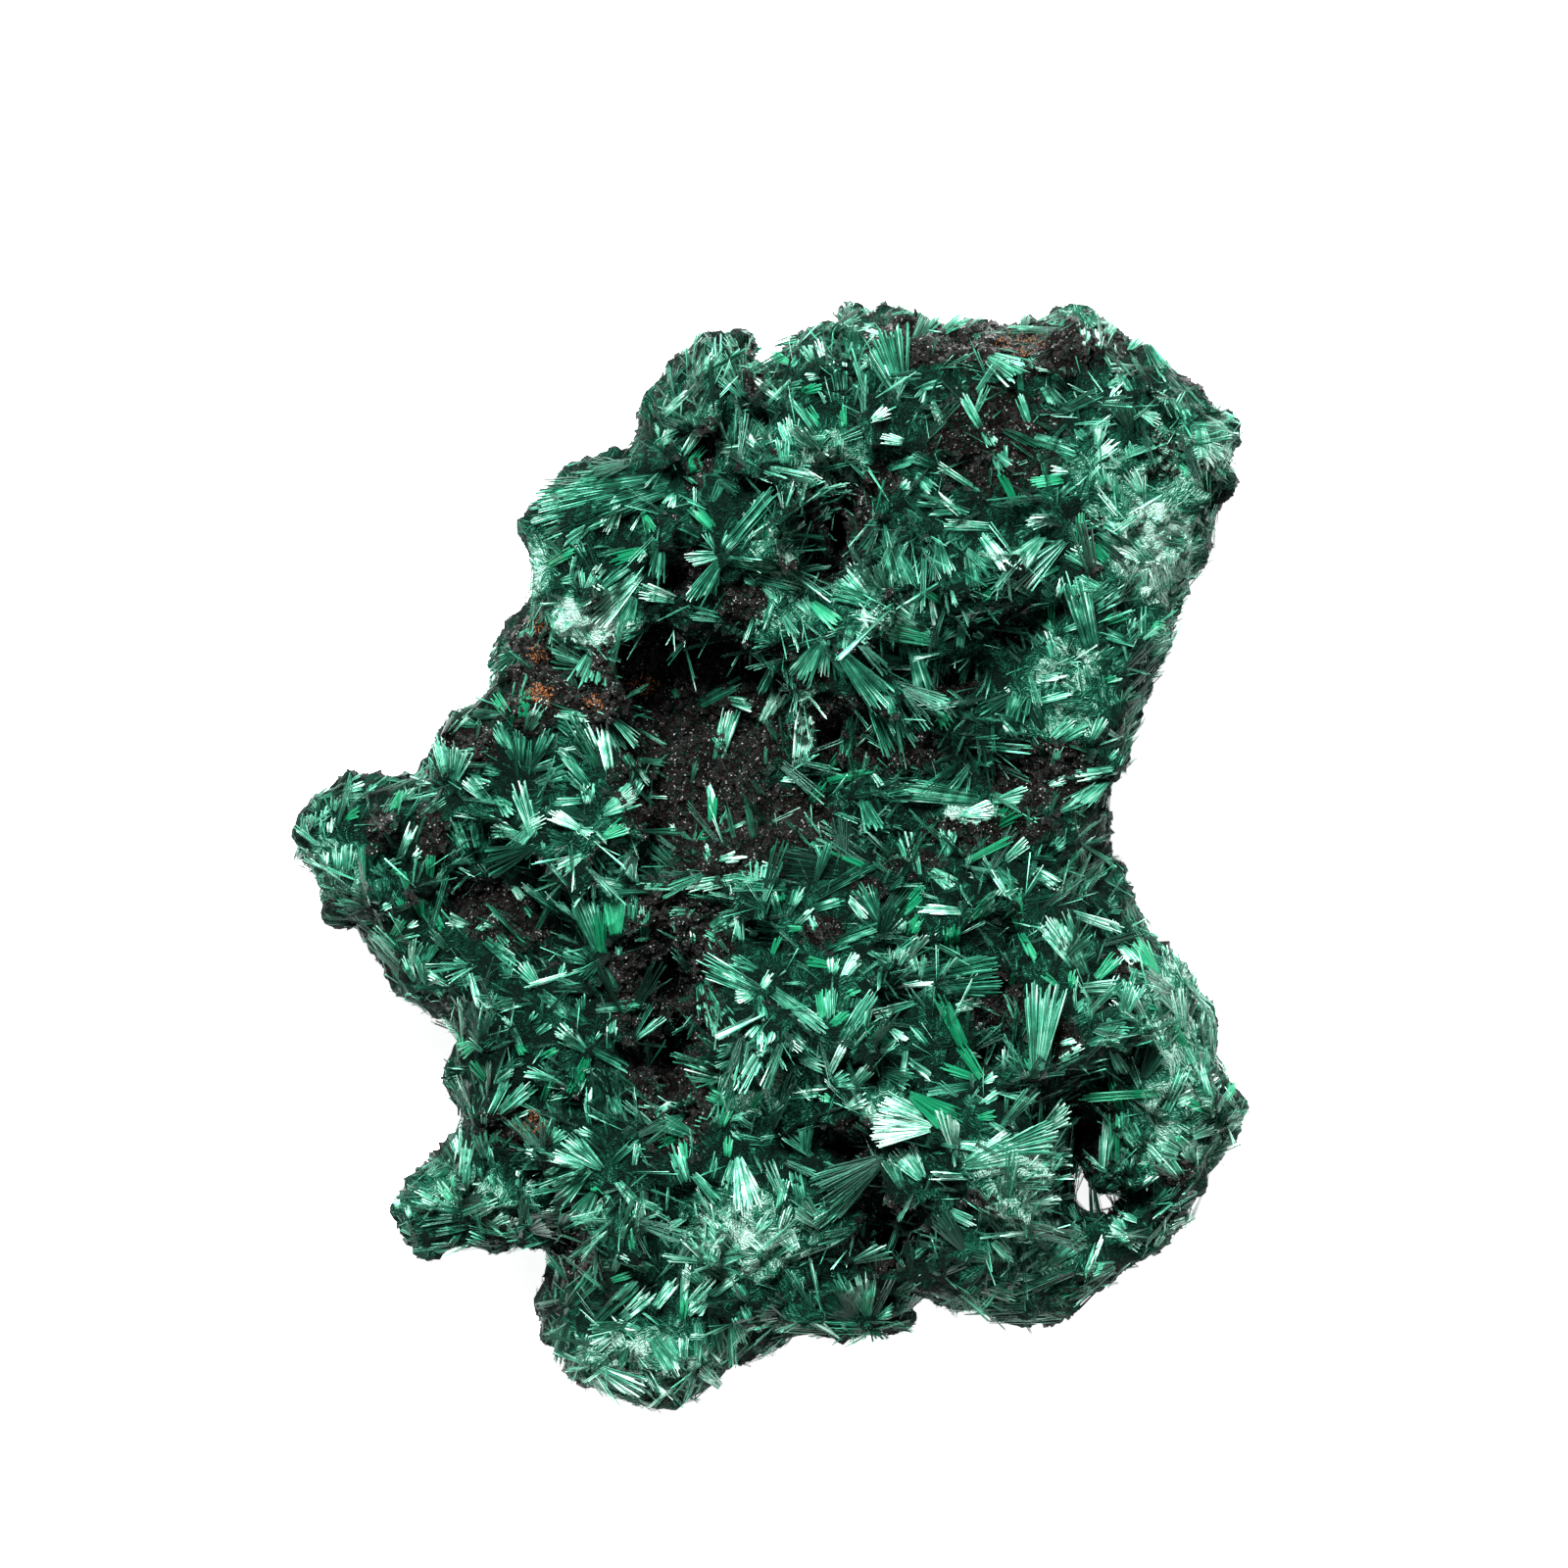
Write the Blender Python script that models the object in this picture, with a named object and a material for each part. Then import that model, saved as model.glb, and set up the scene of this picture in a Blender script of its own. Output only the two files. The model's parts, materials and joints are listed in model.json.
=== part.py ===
"""A cluster of fibrous malachite, grown together as one piece.

The specimen lies on its rough underside. +Z is up and +Y runs along its length,
from the rounded bottom lobes to the high upper block. Lengths in this script are
in millimetres, and the finished mesh is scaled to metres at the end.
"""

import math
import random

import bmesh
import bpy
from mathutils import Matrix, Vector, noise
from mathutils.bvhtree import BVHTree

# Driving dimensions
MILLIMETRE = 0.001
LENGTH = 113.6
WIDTH = 97.7
THICKNESS = 39.0

# Heights of the layers that the lumps grow on
PLATE_BOTTOM, PLATE_TOP = 6.5, 16.0
UPPER_BOTTOM, UPPER_TOP = 9.0, 28.0
LOWER_BOTTOM, LOWER_TOP = 5.0, 21.0

# The level that the lowest lumps are cut off at
REST_LEVEL = 0.4

# Surface
VOXEL = 0.9
SMOOTH_ROUNDS = 3
COARSE_WAVE, COARSE_HEIGHT = 6.5, 2.0
FINE_WAVE, FINE_HEIGHT = 3.0, 1.0
BODY_TRIANGLES = 3000

# Crystals
CRYSTAL_TRIES = 1500
CRYSTAL_SEED = 29
CRYSTAL_GAP = 5.8
ROOT_DEPTH = 1.1
RIM_MARGIN = 1.2

# Rubble on the underside
RUBBLE_STEP = 8.5
RUBBLE_SEED = 7

# The plate's outline, seen from above, from the notch at the top and clockwise
PLATE_OUTLINE = (
    (0.2, 49.2), (2.6, 52.6), (5.2, 53.6), (7.6, 55.0), (8.6, 56.4), (11.6, 55.8),
    (14.2, 56.2), (17.2, 54.8), (21.6, 55.2), (26.6, 54.4), (28.8, 55.8), (31.2, 56.6),
    (33.6, 55.2), (35.6, 53.2), (40.0, 51.6), (43.0, 48.6), (46.0, 44.8), (47.6, 42.2),
    (46.2, 38.6), (44.6, 35.2), (42.6, 31.2), (41.8, 28.4), (41.4, 24.4), (40.0, 20.2),
    (38.8, 16.6), (37.2, 12.6), (36.0, 8.6), (35.0, 4.4), (34.8, 1.2), (36.0, -2.0),
    (38.2, -6.8), (41.4, -11.2), (44.6, -14.6), (46.0, -18.0), (46.8, -22.4), (48.4, -25.0),
    (48.2, -28.4), (46.4, -31.0), (44.6, -33.6), (43.0, -36.2), (41.6, -38.6), (38.6, -41.0),
    (35.8, -42.8), (33.4, -45.4), (30.6, -47.2), (26.6, -47.8), (22.6, -47.2), (18.6, -46.0),
    (16.2, -45.0), (13.6, -46.4), (11.6, -49.4), (8.0, -49.4), (2.6, -49.2), (-0.8, -51.2),
    (-3.6, -52.4), (-5.8, -55.2), (-9.6, -56.4), (-13.2, -56.4), (-17.0, -54.6), (-20.4, -52.2),
    (-22.4, -49.2), (-22.4, -45.6), (-21.4, -42.4), (-22.2, -39.4), (-24.6, -39.6),
    (-27.4, -40.4), (-31.4, -41.0), (-35.4, -40.8), (-38.0, -38.4), (-37.6, -34.8),
    (-34.8, -32.0), (-32.6, -29.6), (-31.4, -26.4), (-31.6, -22.4), (-31.2, -18.8),
    (-32.6, -16.6), (-36.0, -14.6), (-38.2, -11.6), (-39.4, -8.4), (-42.2, -6.0),
    (-45.4, -3.0), (-48.2, 0.2), (-48.2, 3.6), (-46.6, 6.2), (-43.6, 7.4), (-39.2, 7.6),
    (-35.6, 8.2), (-34.2, 11.4), (-32.4, 14.0), (-28.8, 16.4), (-27.6, 19.6), (-26.6, 22.8),
    (-24.8, 25.2), (-23.4, 28.0), (-23.0, 31.4), (-19.4, 36.6), (-13.0, 40.4), (-9.6, 46.0),
    (-5.0, 52.6), (-1.8, 51.0),
)
# The thick middle of the upper block and of the lower one
UPPER_OUTLINE = (
    (-9, 42), (-4, 49), (3, 49), (8, 53), (30, 53), (39, 48), (44, 41), (40, 31),
    (38, 22), (31, 17), (21, 19), (9, 22), (2, 28), (-8, 34),
)
LOWER_OUTLINE = (
    (-17, -1), (-3, 1), (28, 2), (36, -8), (41, -18), (31, -24), (26, -36), (17, -42),
    (9, -45), (-7, -51), (-17, -51), (-19, -38), (-22, -30), (-28, -25), (-28, -14),
    (-22, -10), (-13, -10), (-11, -24), (-6, -25), (-5, -13),
)

# Lumps: centre x, y, z, then half sizes x, y, z, then turn about Z in degrees
UPPER_BLOCK_LUMPS = (
    (-5.4, 49.6, 23, 4.8, 4.5, 10, 0), (-8.2, 44.0, 22, 5.0, 5.0, 10, 0),
    (7.6, 49.2, 24, 6.0, 5.2, 12, 0), (13.8, 50.6, 25, 7.0, 5.4, 12, 0),
    (21.8, 49.8, 25, 7.5, 5.4, 11, 0), (30.6, 51.0, 23, 5.6, 5.4, 12, 0),
    (36.0, 47.4, 24, 6.8, 5.8, 11, -30), (40.6, 43.8, 23, 6.2, 5.6, 12, -40),
    (42.4, 40.0, 21, 5.2, 5.8, 11, 0), (39.8, 35.0, 20, 6.0, 6.8, 12, 0),
    (37.4, 27.0, 18, 5.0, 6.8, 11, 0), (18.0, 43.0, 29, 12.0, 8.0, 9, 0),
    (30.0, 42.4, 30, 10.0, 8.0, 8, 0), (5.0, 43.0, 28, 8.5, 6.5, 8, 0),
    (-4.4, 41.4, 27, 7.5, 6.0, 7, 20), (15.6, 33.0, 29, 7.0, 6.5, 8, 0),
    (23.6, 31.0, 28, 8.5, 6.5, 8, 0), (32.0, 31.0, 27, 7.5, 7.0, 8, 0),
    (9.6, 25.6, 24, 6.5, 4.6, 7, -15), (18.4, 24.8, 24, 7.0, 5.4, 7, 0),
)
LEDGE_LUMPS = (
    (-12.6, 38.0, 28, 7.4, 4.8, 5, 25), (-19.4, 35.6, 28, 6.2, 4.6, 4.4, 15),
    (-19.0, 29.6, 28, 5.0, 5.6, 4.6, 0), (-16.6, 25.4, 27, 4.6, 3.4, 4.4, 15),
    (-12.4, 29.4, 27, 6.0, 5.0, 5, 0), (-4.6, 28.2, 26, 8.0, 5.2, 5.4, -5),
    (-1.4, 34.4, 28, 7.0, 6.0, 7, 0), (1.2, 25.2, 25, 5.0, 3.8, 5, -20),
)
MIDDLE_LUMPS = (
    (32.8, 22.0, 22, 6.6, 7.0, 8, 0), (32.0, 13.6, 21, 5.4, 6.8, 8, 0),
    (29.8, 5.0, 18, 5.2, 6.8, 8, 0), (24.8, 17.0, 20, 6.8, 6.4, 7, 0),
    (23.8, 7.8, 17, 7.0, 6.0, 7, 0), (8.6, 19.4, 20, 7.0, 4.8, 7, -20),
    (14.6, 15.6, 19, 5.4, 6.0, 7, -30), (14.8, 7.6, 16, 6.2, 5.2, 7, 0),
    (2.0, 13.0, 13, 7.0, 6.0, 6, 0),
)
LEFT_RIDGE_LUMPS = (
    (-22.6, 13.8, 19, 6.6, 5.8, 8, 0), (-29.0, 11.0, 17, 5.4, 4.8, 7, 25),
    (-16.0, 11.6, 19, 5.2, 5.0, 7, 0), (-18.2, 4.6, 21, 6.8, 4.2, 7, 5),
    (-27.8, 5.6, 18, 6.6, 4.4, 7, 0), (-24.8, 20.6, 14, 3.6, 5.0, 6, -20),
    (-43.6, 2.4, 15, 4.6, 4.8, 7, 0), (-38.4, 3.2, 16, 5.6, 4.4, 7, 0),
    (-39.8, -2.8, 14, 5.6, 4.6, 7, -35), (-34.6, 0.6, 16, 5.0, 4.6, 7, 0),
    (-33.6, -8.0, 14, 5.8, 5.4, 7, -30), (-27.6, -10.4, 15, 5.6, 4.8, 7, 0),
    (-34.4, -12.0, 12, 4.0, 3.4, 6, -30),
)
LOWER_BLOCK_LUMPS = (
    (-14.6, -5.4, 18, 6.6, 5.4, 7, 0), (-2.4, -2.4, 18, 9.0, 5.6, 7, 5),
    (7.6, -5.6, 20, 9.0, 6.6, 8, 0), (17.8, -4.8, 20, 8.0, 6.6, 8, 0),
    (27.6, -5.4, 19, 7.6, 6.0, 8, 0), (34.0, -8.8, 16, 5.0, 6.0, 7, 30),
    (-1.8, -14.6, 21, 6.0, 7.0, 8, 0), (7.8, -15.6, 22, 8.6, 7.0, 8, 0),
    (16.6, -17.4, 22, 5.6, 6.6, 8, 0), (29.0, -16.4, 22, 5.0, 8.0, 8, 8),
    (11.8, -24.6, 23, 9.0, 5.8, 8, -10), (1.6, -24.6, 20, 6.4, 6.0, 8, 0),
    (21.8, -29.6, 24, 7.6, 7.0, 8, 0), (21.0, -39.4, 17, 8.4, 6.0, 8, 0),
    (29.2, -42.6, 13, 6.6, 4.2, 6, 25), (39.6, -14.6, 17, 4.8, 5.4, 7, 30),
    (40.6, -21.4, 18, 5.2, 6.2, 8, 15), (43.8, -26.8, 16, 4.4, 4.8, 7, 0),
    (41.4, -31.6, 14, 4.2, 4.4, 7, 0), (39.8, -36.6, 12, 3.0, 3.8, 5, -20),
    (35.6, -40.2, 11, 3.6, 2.6, 5, 35), (31.8, -25.6, 14, 4.0, 4.0, 6, 0),
)
BOTTOM_LUMPS = (
    (-18.0, -29.6, 19, 6.6, 5.0, 8, 0), (-9.4, -31.6, 21, 7.6, 6.0, 8, 0),
    (0.4, -35.4, 21, 8.4, 6.6, 8, 0), (6.8, -43.0, 16, 5.6, 4.4, 6, 0),
    (-2.4, -43.2, 18, 7.6, 5.2, 7, 0), (-14.2, -41.4, 18, 6.4, 6.0, 8, 0),
    (-16.2, -49.2, 16, 5.8, 5.4, 8, 0), (-9.6, -50.2, 16, 6.0, 5.4, 8, 0),
    (-27.2, -18.8, 17, 4.2, 5.6, 8, 0), (-27.0, -25.4, 17, 4.4, 4.8, 8, 0),
    (-21.6, -18.0, 17, 5.6, 6.4, 7, 0), (-18.6, -12.6, 17, 5.4, 4.6, 7, 0),
    (-33.2, -36.2, 13, 4.2, 3.8, 6, 0), (-27.8, -36.2, 14, 4.6, 3.9, 6, 0),
    (-28.2, -31.0, 15, 4.2, 4.2, 6, 0),
)
FOOT_LUMPS = (
    (22.0, 38.0, 7.0, 12.0, 9.0, 8.0, 15), (-2.0, 40.0, 8.0, 7.0, 9.0, 8.6, -20),
    (30.0, -14.0, 7.0, 9.0, 12.0, 8.2, 10), (-13.0, -42.0, 7.0, 7.0, 9.0, 8.4, 0),
    (-33.0, 0.0, 7.0, 11.0, 5.6, 7.4, -15), (4.0, -20.0, 8.0, 12.0, 8.0, 7.4, 25),
)
# Hollows that are eaten into the lumps, in the same form
HOLLOWS = (
    (6.8, 33.8, 35, 2.8, 5.2, 15, 8), (-8.0, 22.0, 19.5, 10.0, 3.6, 4.6, -4),
    (-6.0, 13.5, 21, 9.0, 8.5, 6.5, 0), (-9.4, -19.6, 25, 3.8, 7.6, 14, 5),
    (23.2, -14.8, 31, 2.3, 2.4, 12, 0), (32.0, -28.8, 25, 3.2, 4.6, 14, 0),
    (12.4, -40.2, 26, 3.8, 3.0, 14, 10), (-10.2, 28.4, 31, 2.0, 1.8, 7, 0),
    (-28.0, -3.2, 23, 6.0, 2.6, 8, -28), (-22.0, -8.0, 22, 3.0, 3.6, 7, 0),
    (20.2, 18.4, 29, 2.6, 2.4, 7, 30), (-19.4, -38.4, 21, 2.4, 2.6, 8, 0),
    (25.8, 9.6, 27, 2.6, 4.4, 6, 0), (9.0, -28.6, 31, 2.6, 1.8, 6, 0),
)
# Openings that go right through the thin lower right rim, as seen from above
RIM_OPENINGS = (
    ((31.7, -32.8), (32.9, -32.3), (32.7, -33.9), (32.9, -35.4), (33.3, -36.2),
     (32.7, -36.6), (31.7, -36.5), (31.4, -35.4), (31.7, -33.9)),
    ((34.2, -34.4), (36.2, -34.0), (36.0, -34.8), (35.2, -35.1), (34.5, -36.0),
     (34.7, -36.8), (33.9, -37.3), (33.3, -36.8), (33.7, -35.9), (34.1, -34.8)),
)

# Crystal fans that stand out, as root x, y, then tip x, y, then width at the tip,
# thickness, and how far the tip rises from the root
STANDING_FANS = (
    (20.6, -37.0, 25.0, -30.0, 6.0, 1.6, 1.5), (17.0, -28.2, 9.6, -24.6, 5.4, 1.6, 1.0),
    (15.4, -24.4, 19.6, -28.2, 3.4, 1.2, 0.6), (28.4, -17.6, 26.6, -8.0, 5.4, 1.6, 1.6),
    (20.6, 21.2, 11.6, 26.0, 4.6, 1.4, 1.2), (1.0, 29.4, 2.2, 36.2, 5.6, 1.2, 1.4),
    (42.0, 31.2, 34.6, 40.4, 3.2, 1.4, 0.8), (29.4, 18.8, 27.6, 24.2, 2.0, 1.0, 1.6),
    (24.4, -13.0, 16.2, -11.4, 4.0, 1.4, 1.0), (17.6, -8.0, 19.0, -1.6, 2.6, 1.2, 1.2),
    (16.4, 4.2, 21.6, 5.6, 3.4, 1.2, 1.6), (3.6, 9.4, 4.2, 15.4, 2.6, 1.0, 2.0),
    (7.2, 9.6, 9.4, 15.2, 2.2, 1.0, 2.0), (-5.6, 6.8, -5.0, 14.2, 2.4, 1.0, 2.0),
    (-7.0, 15.6, -0.2, 17.6, 3.0, 1.0, 2.2), (-16.2, -9.6, -18.0, -2.6, 3.6, 1.2, 1.2),
    (12.0, -30.2, 5.0, -40.0, 6.4, 1.6, 0.8), (10.2, -47.2, -1.6, -38.4, 9.0, 1.8, 1.0),
    (1.6, 7.4, 12.0, 6.6, 2.6, 1.0, 1.4), (36.4, -29.6, 37.0, -20.6, 3.0, 1.2, 1.4),
    (42.0, -31.6, 35.0, -26.2, 3.0, 1.2, 0.8), (-21.6, 35.6, -11.6, 38.4, 5.0, 1.4, 0.6),
    (-8.4, -29.2, -2.4, -33.0, 4.0, 1.4, 0.8), (-13.4, -44.8, -5.4, -48.0, 6.0, 1.6, 0.8),
    (31.0, -30.8, 28.8, -33.8, 2.4, 1.2, 1.0), (23.6, 0.4, 30.0, 2.6, 2.4, 1.0, 1.2),
    (-3.6, -20.4, -6.8, -12.4, 4.0, 1.2, 1.2), (5.6, -11.2, 12.6, -9.4, 2.8, 1.2, 1.0),
)


def clear_scene():
    """Removes every object that is already in the scene."""
    for thing in list(bpy.data.objects):
        bpy.data.objects.remove(thing)


def object_from(shape, name):
    """Turns a bmesh into an object in the scene, and frees the bmesh."""
    mesh = bpy.data.meshes.new(name)
    bmesh.ops.recalc_face_normals(shape, faces=shape.faces)
    shape.to_mesh(mesh)
    shape.free()
    thing = bpy.data.objects.new(name, mesh)
    bpy.context.scene.collection.objects.link(thing)
    return thing


def apply_modifiers(thing):
    """Replaces an object's mesh with what its modifiers make of it."""
    graph = bpy.context.evaluated_depsgraph_get()
    thing.data = bpy.data.meshes.new_from_object(thing.evaluated_get(graph))
    thing.modifiers.clear()


def add_slab(shape, outline, bottom, top):
    """Adds an upright slab with the given outline."""
    foot = shape.faces.new([shape.verts.new((x, y, bottom)) for x, y in outline])
    raised = bmesh.ops.extrude_face_region(shape, geom=[foot])
    corners = [part for part in raised["geom"] if isinstance(part, bmesh.types.BMVert)]
    bmesh.ops.translate(shape, verts=corners, vec=(0, 0, top - bottom))
    bmesh.ops.triangulate(shape, faces=[face for face in shape.faces if len(face.verts) > 4])


def add_lump(shape, lump, subdivisions=3):
    """Adds one rounded lump, given as centre, half sizes and turn."""
    x, y, z, half_x, half_y, half_z, turn = lump
    place = (
        Matrix.Translation((x, y, z))
        @ Matrix.Rotation(math.radians(turn), 4, "Z")
        @ Matrix.Diagonal((half_x, half_y, half_z, 1))
    )
    bmesh.ops.create_icosphere(shape, subdivisions=subdivisions, radius=1, matrix=place)


def remesh(thing, voxel):
    """Joins what overlaps in one object into one even skin."""
    modifier = thing.modifiers.new("skin", "REMESH")
    modifier.mode = "VOXEL"
    modifier.voxel_size = voxel
    apply_modifiers(thing)


def cut(thing, cutter):
    """Takes the cutter's volume out of an object, and removes the cutter."""
    modifier = thing.modifiers.new("cut", "BOOLEAN")
    modifier.operation = "DIFFERENCE"
    modifier.use_self = True
    modifier.object = cutter
    apply_modifiers(thing)
    bpy.data.objects.remove(cutter)


def roughen(thing):
    """Moves the skin in and out by a coarse and a fine noise, as broken rock has."""
    mesh = thing.data
    normals = [vertex.normal.copy() for vertex in mesh.vertices]
    for vertex, normal in zip(mesh.vertices, normals):
        coarse = noise.noise(vertex.co / COARSE_WAVE)
        fine = noise.noise(vertex.co / FINE_WAVE + Vector((31, 17, 5)))
        vertex.co += normal * (COARSE_HEIGHT * coarse + FINE_HEIGHT * fine)
    mesh.update()


def thin_out(thing, triangles):
    """Reduces a mesh to about the given number of triangles."""
    modifier = thing.modifiers.new("thin", "DECIMATE")
    now = sum(len(face.vertices) - 2 for face in thing.data.polygons)
    modifier.ratio = triangles / now
    modifier.use_collapse_triangulate = True
    apply_modifiers(thing)


def inside_outline(x, y, margin):
    """Says whether a point lies inside the plate's outline, at least the margin from it."""
    inside = False
    for (x0, y0), (x1, y1) in zip(PLATE_OUTLINE, PLATE_OUTLINE[1:] + PLATE_OUTLINE[:1]):
        if (y0 > y) != (y1 > y) and x < x0 + (x1 - x0) * (y - y0) / (y1 - y0):
            inside = not inside
        start, edge = Vector((x0, y0)), Vector((x1 - x0, y1 - y0))
        part = (Vector((x, y)) - start).dot(edge) / edge.length_squared
        nearest = start + edge * min(1.0, max(0.0, part))
        if (nearest - Vector((x, y))).length < margin:
            return False
    return inside


def over_hollow(x, y):
    """Says whether a point, seen from above, lies in the mouth of a hollow."""
    for centre_x, centre_y, _, half_x, half_y, _, _ in HOLLOWS:
        if ((x - centre_x) / half_x) ** 2 + ((y - centre_y) / half_y) ** 2 < 1:
            return True
    return False


def add_rubble(shape):
    """Adds seeded lumps under the plate, as the broken side of the specimen has."""
    chance = random.Random(RUBBLE_SEED)
    columns = int(WIDTH / RUBBLE_STEP) + 1
    rows = int(LENGTH / RUBBLE_STEP) + 1
    for column in range(columns):
        for row in range(rows):
            x = -WIDTH / 2 + (column + chance.uniform(0.2, 0.8)) * RUBBLE_STEP
            y = -LENGTH / 2 + (row + chance.uniform(0.2, 0.8)) * RUBBLE_STEP
            half = [chance.uniform(3.8, 7.0), chance.uniform(3.8, 7.0), chance.uniform(3.5, 6.6)]
            turn = chance.uniform(0, 180)
            z = chance.uniform(6.2, 7.6)
            if inside_outline(x, y, 5.5):
                add_lump(shape, (x, y, z, *half, turn), subdivisions=2)


def rough_body():
    """Builds the body: plates and lumps in one skin, with its hollows and openings."""
    shape = bmesh.new()
    add_slab(shape, PLATE_OUTLINE, PLATE_BOTTOM, PLATE_TOP)
    add_slab(shape, UPPER_OUTLINE, UPPER_BOTTOM, UPPER_TOP)
    add_slab(shape, LOWER_OUTLINE, LOWER_BOTTOM, LOWER_TOP)
    groups = (
        UPPER_BLOCK_LUMPS, LEDGE_LUMPS, MIDDLE_LUMPS, LEFT_RIDGE_LUMPS,
        LOWER_BLOCK_LUMPS, BOTTOM_LUMPS, FOOT_LUMPS,
    )
    for group in groups:
        for lump in group:
            add_lump(shape, lump)
    add_rubble(shape)
    body = object_from(shape, "malachite_cluster")
    remesh(body, VOXEL)

    cutter = bmesh.new()
    for hollow in HOLLOWS:
        add_lump(cutter, hollow, subdivisions=2)
    cut(body, object_from(cutter, "hollows"))
    remesh(body, VOXEL)
    smooth = body.modifiers.new("soften", "SMOOTH")
    smooth.iterations = SMOOTH_ROUNDS
    smooth.factor = 0.5
    apply_modifiers(body)
    roughen(body)
    thin_out(body, BODY_TRIANGLES)

    opening = bmesh.new()
    for outline in RIM_OPENINGS:
        add_slab(opening, outline, -1.0, THICKNESS)
    cut(body, object_from(opening, "rim_openings"))
    return body


def add_fan(shape, root, along, up, length, width, thickness):
    """Adds one flat-faced fan of fibres, narrow at its root and wide at its ragged end."""
    along = along.normalized()
    side = up.cross(along).normalized()
    up = along.cross(side)
    outline = (
        (0.0, -0.12, 1.0), (0.0, 0.12, 1.0), (0.84, 0.5, 0.6), (1.0, 0.1, 0.5), (0.9, -0.5, 0.6),
    )
    rings = []
    for level in (-0.5, 0.5):
        ring = []
        for reach, spread, swell in outline:
            place = root + along * (reach * length) + side * (spread * width)
            ring.append(shape.verts.new(place + up * (level * swell * thickness)))
        rings.append(ring)
    lower, upper = rings
    shape.faces.new(list(reversed(lower)))
    shape.faces.new(upper)
    for near, far in zip(range(5), (1, 2, 3, 4, 0)):
        shape.faces.new((lower[near], lower[far], upper[far], upper[near]))


def standing_fans(shape, skin):
    """Adds the fans that stand out in the front view, each laid on the skin below it."""
    for root_x, root_y, tip_x, tip_y, width, thickness, rise in STANDING_FANS:
        root = skin.ray_cast(Vector((root_x, root_y, 99)), Vector((0, 0, -1)))[0]
        tip = skin.ray_cast(Vector((tip_x, tip_y, 99)), Vector((0, 0, -1)))[0]
        if root is None or tip is None:
            continue
        root = root + Vector((0, 0, -0.4 * thickness))
        tip = tip + Vector((0, 0, rise - 0.2 * thickness))
        along = tip - root
        add_fan(shape, root, along, Vector((0, 0, 1)), along.length, width, thickness)


def scattered_fans(shape, thing, skin):
    """Adds seeded fans over the skin, leaning out of it as the sprays do."""
    chance = random.Random(CRYSTAL_SEED)
    faces = [face for face in thing.data.polygons if face.normal.z > -0.3]
    areas = [face.area for face in faces]
    roots = []
    for face in chance.choices(faces, areas, k=CRYSTAL_TRIES):
        normal = face.normal.copy()
        flank = normal.cross(Vector((0.3, 0.2, 1.0))).normalized()
        turn = Matrix.Rotation(chance.uniform(0, 2 * math.pi), 4, normal)
        along = (turn @ flank + normal * chance.uniform(0.25, 0.6)).normalized()
        length = chance.uniform(5.5, 11.0)
        width = length * chance.uniform(0.42, 0.7)
        thickness = chance.uniform(1.2, 2.0)
        root = face.center - normal * ROOT_DEPTH
        tip = root + along * length
        crowded = any((root - other).length < CRYSTAL_GAP for other in roots)
        middle = (root + tip) / 2
        if over_hollow(middle.x, middle.y) or over_hollow(tip.x, tip.y):
            continue
        if crowded or not inside_outline(tip.x, tip.y, RIM_MARGIN) or tip.z < PLATE_BOTTOM:
            continue
        if skin.ray_cast(face.center + normal * 0.3, along, length)[0] is None:
            roots.append(root)
            add_fan(shape, root, along, normal, length, width, thickness)


def keep_largest(thing):
    """Keeps the largest connected shell, which fills any pocket closed off inside."""
    shape = bmesh.new()
    shape.from_mesh(thing.data)
    shape.verts.ensure_lookup_table()
    unseen = set(shape.verts)
    shells = []
    while unseen:
        front = [unseen.pop()]
        shell = list(front)
        while front:
            vertex = front.pop()
            for edge in vertex.link_edges:
                other = edge.other_vert(vertex)
                if other in unseen:
                    unseen.remove(other)
                    front.append(other)
                    shell.append(other)
        shells.append(shell)
    shells.sort(key=len)
    for shell in shells[:-1]:
        bmesh.ops.delete(shape, geom=shell, context="VERTS")
    shape.to_mesh(thing.data)
    shape.free()


def grow_fans(body):
    """Joins the fans to the body in one solid."""
    skin_shape = bmesh.new()
    skin_shape.from_mesh(body.data)
    skin = BVHTree.FromBMesh(skin_shape)
    skin_shape.free()
    shape = bmesh.new()
    standing_fans(shape, skin)
    scattered_fans(shape, body, skin)
    fans = object_from(shape, "fans")
    modifier = body.modifiers.new("fans", "BOOLEAN")
    modifier.operation = "UNION"
    modifier.use_self = True
    modifier.object = fans
    apply_modifiers(body)
    bpy.data.objects.remove(fans)


def cut_resting_faces(body):
    """Cuts the lowest lumps off level, so that the cluster rests on flat facets."""
    below = bmesh.new()
    reach = 2 * LENGTH
    square = [(-reach, -reach), (reach, -reach), (reach, reach), (-reach, reach)]
    add_slab(below, square, -reach, REST_LEVEL)
    cut(body, object_from(below, "below"))


def fit_to_size(body):
    """Scales the mesh to its real size in metres, centred over the origin."""
    points = [vertex.co for vertex in body.data.vertices]
    low = Vector([min(point[axis] for point in points) for axis in range(3)])
    high = Vector([max(point[axis] for point in points) for axis in range(3)])
    span = high - low
    middle = Vector(((low.x + high.x) / 2, (low.y + high.y) / 2, low.z))
    sizes = (WIDTH / span.x, LENGTH / span.y, THICKNESS / span.z)
    scale = Matrix.Diagonal([MILLIMETRE * size for size in sizes] + [1])
    body.data.transform(scale @ Matrix.Translation(-middle))
    body.data.update()


def malachite_material():
    """The silky green of the fibres, as a plain material."""
    material = bpy.data.materials.new("malachite")
    material.use_nodes = True
    shader = material.node_tree.nodes["Principled BSDF"]
    shader.inputs["Base Color"].default_value = (0.035, 0.12, 0.085, 1)
    shader.inputs["Roughness"].default_value = 0.5
    shader.inputs["Metallic"].default_value = 0.0
    return material


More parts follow.
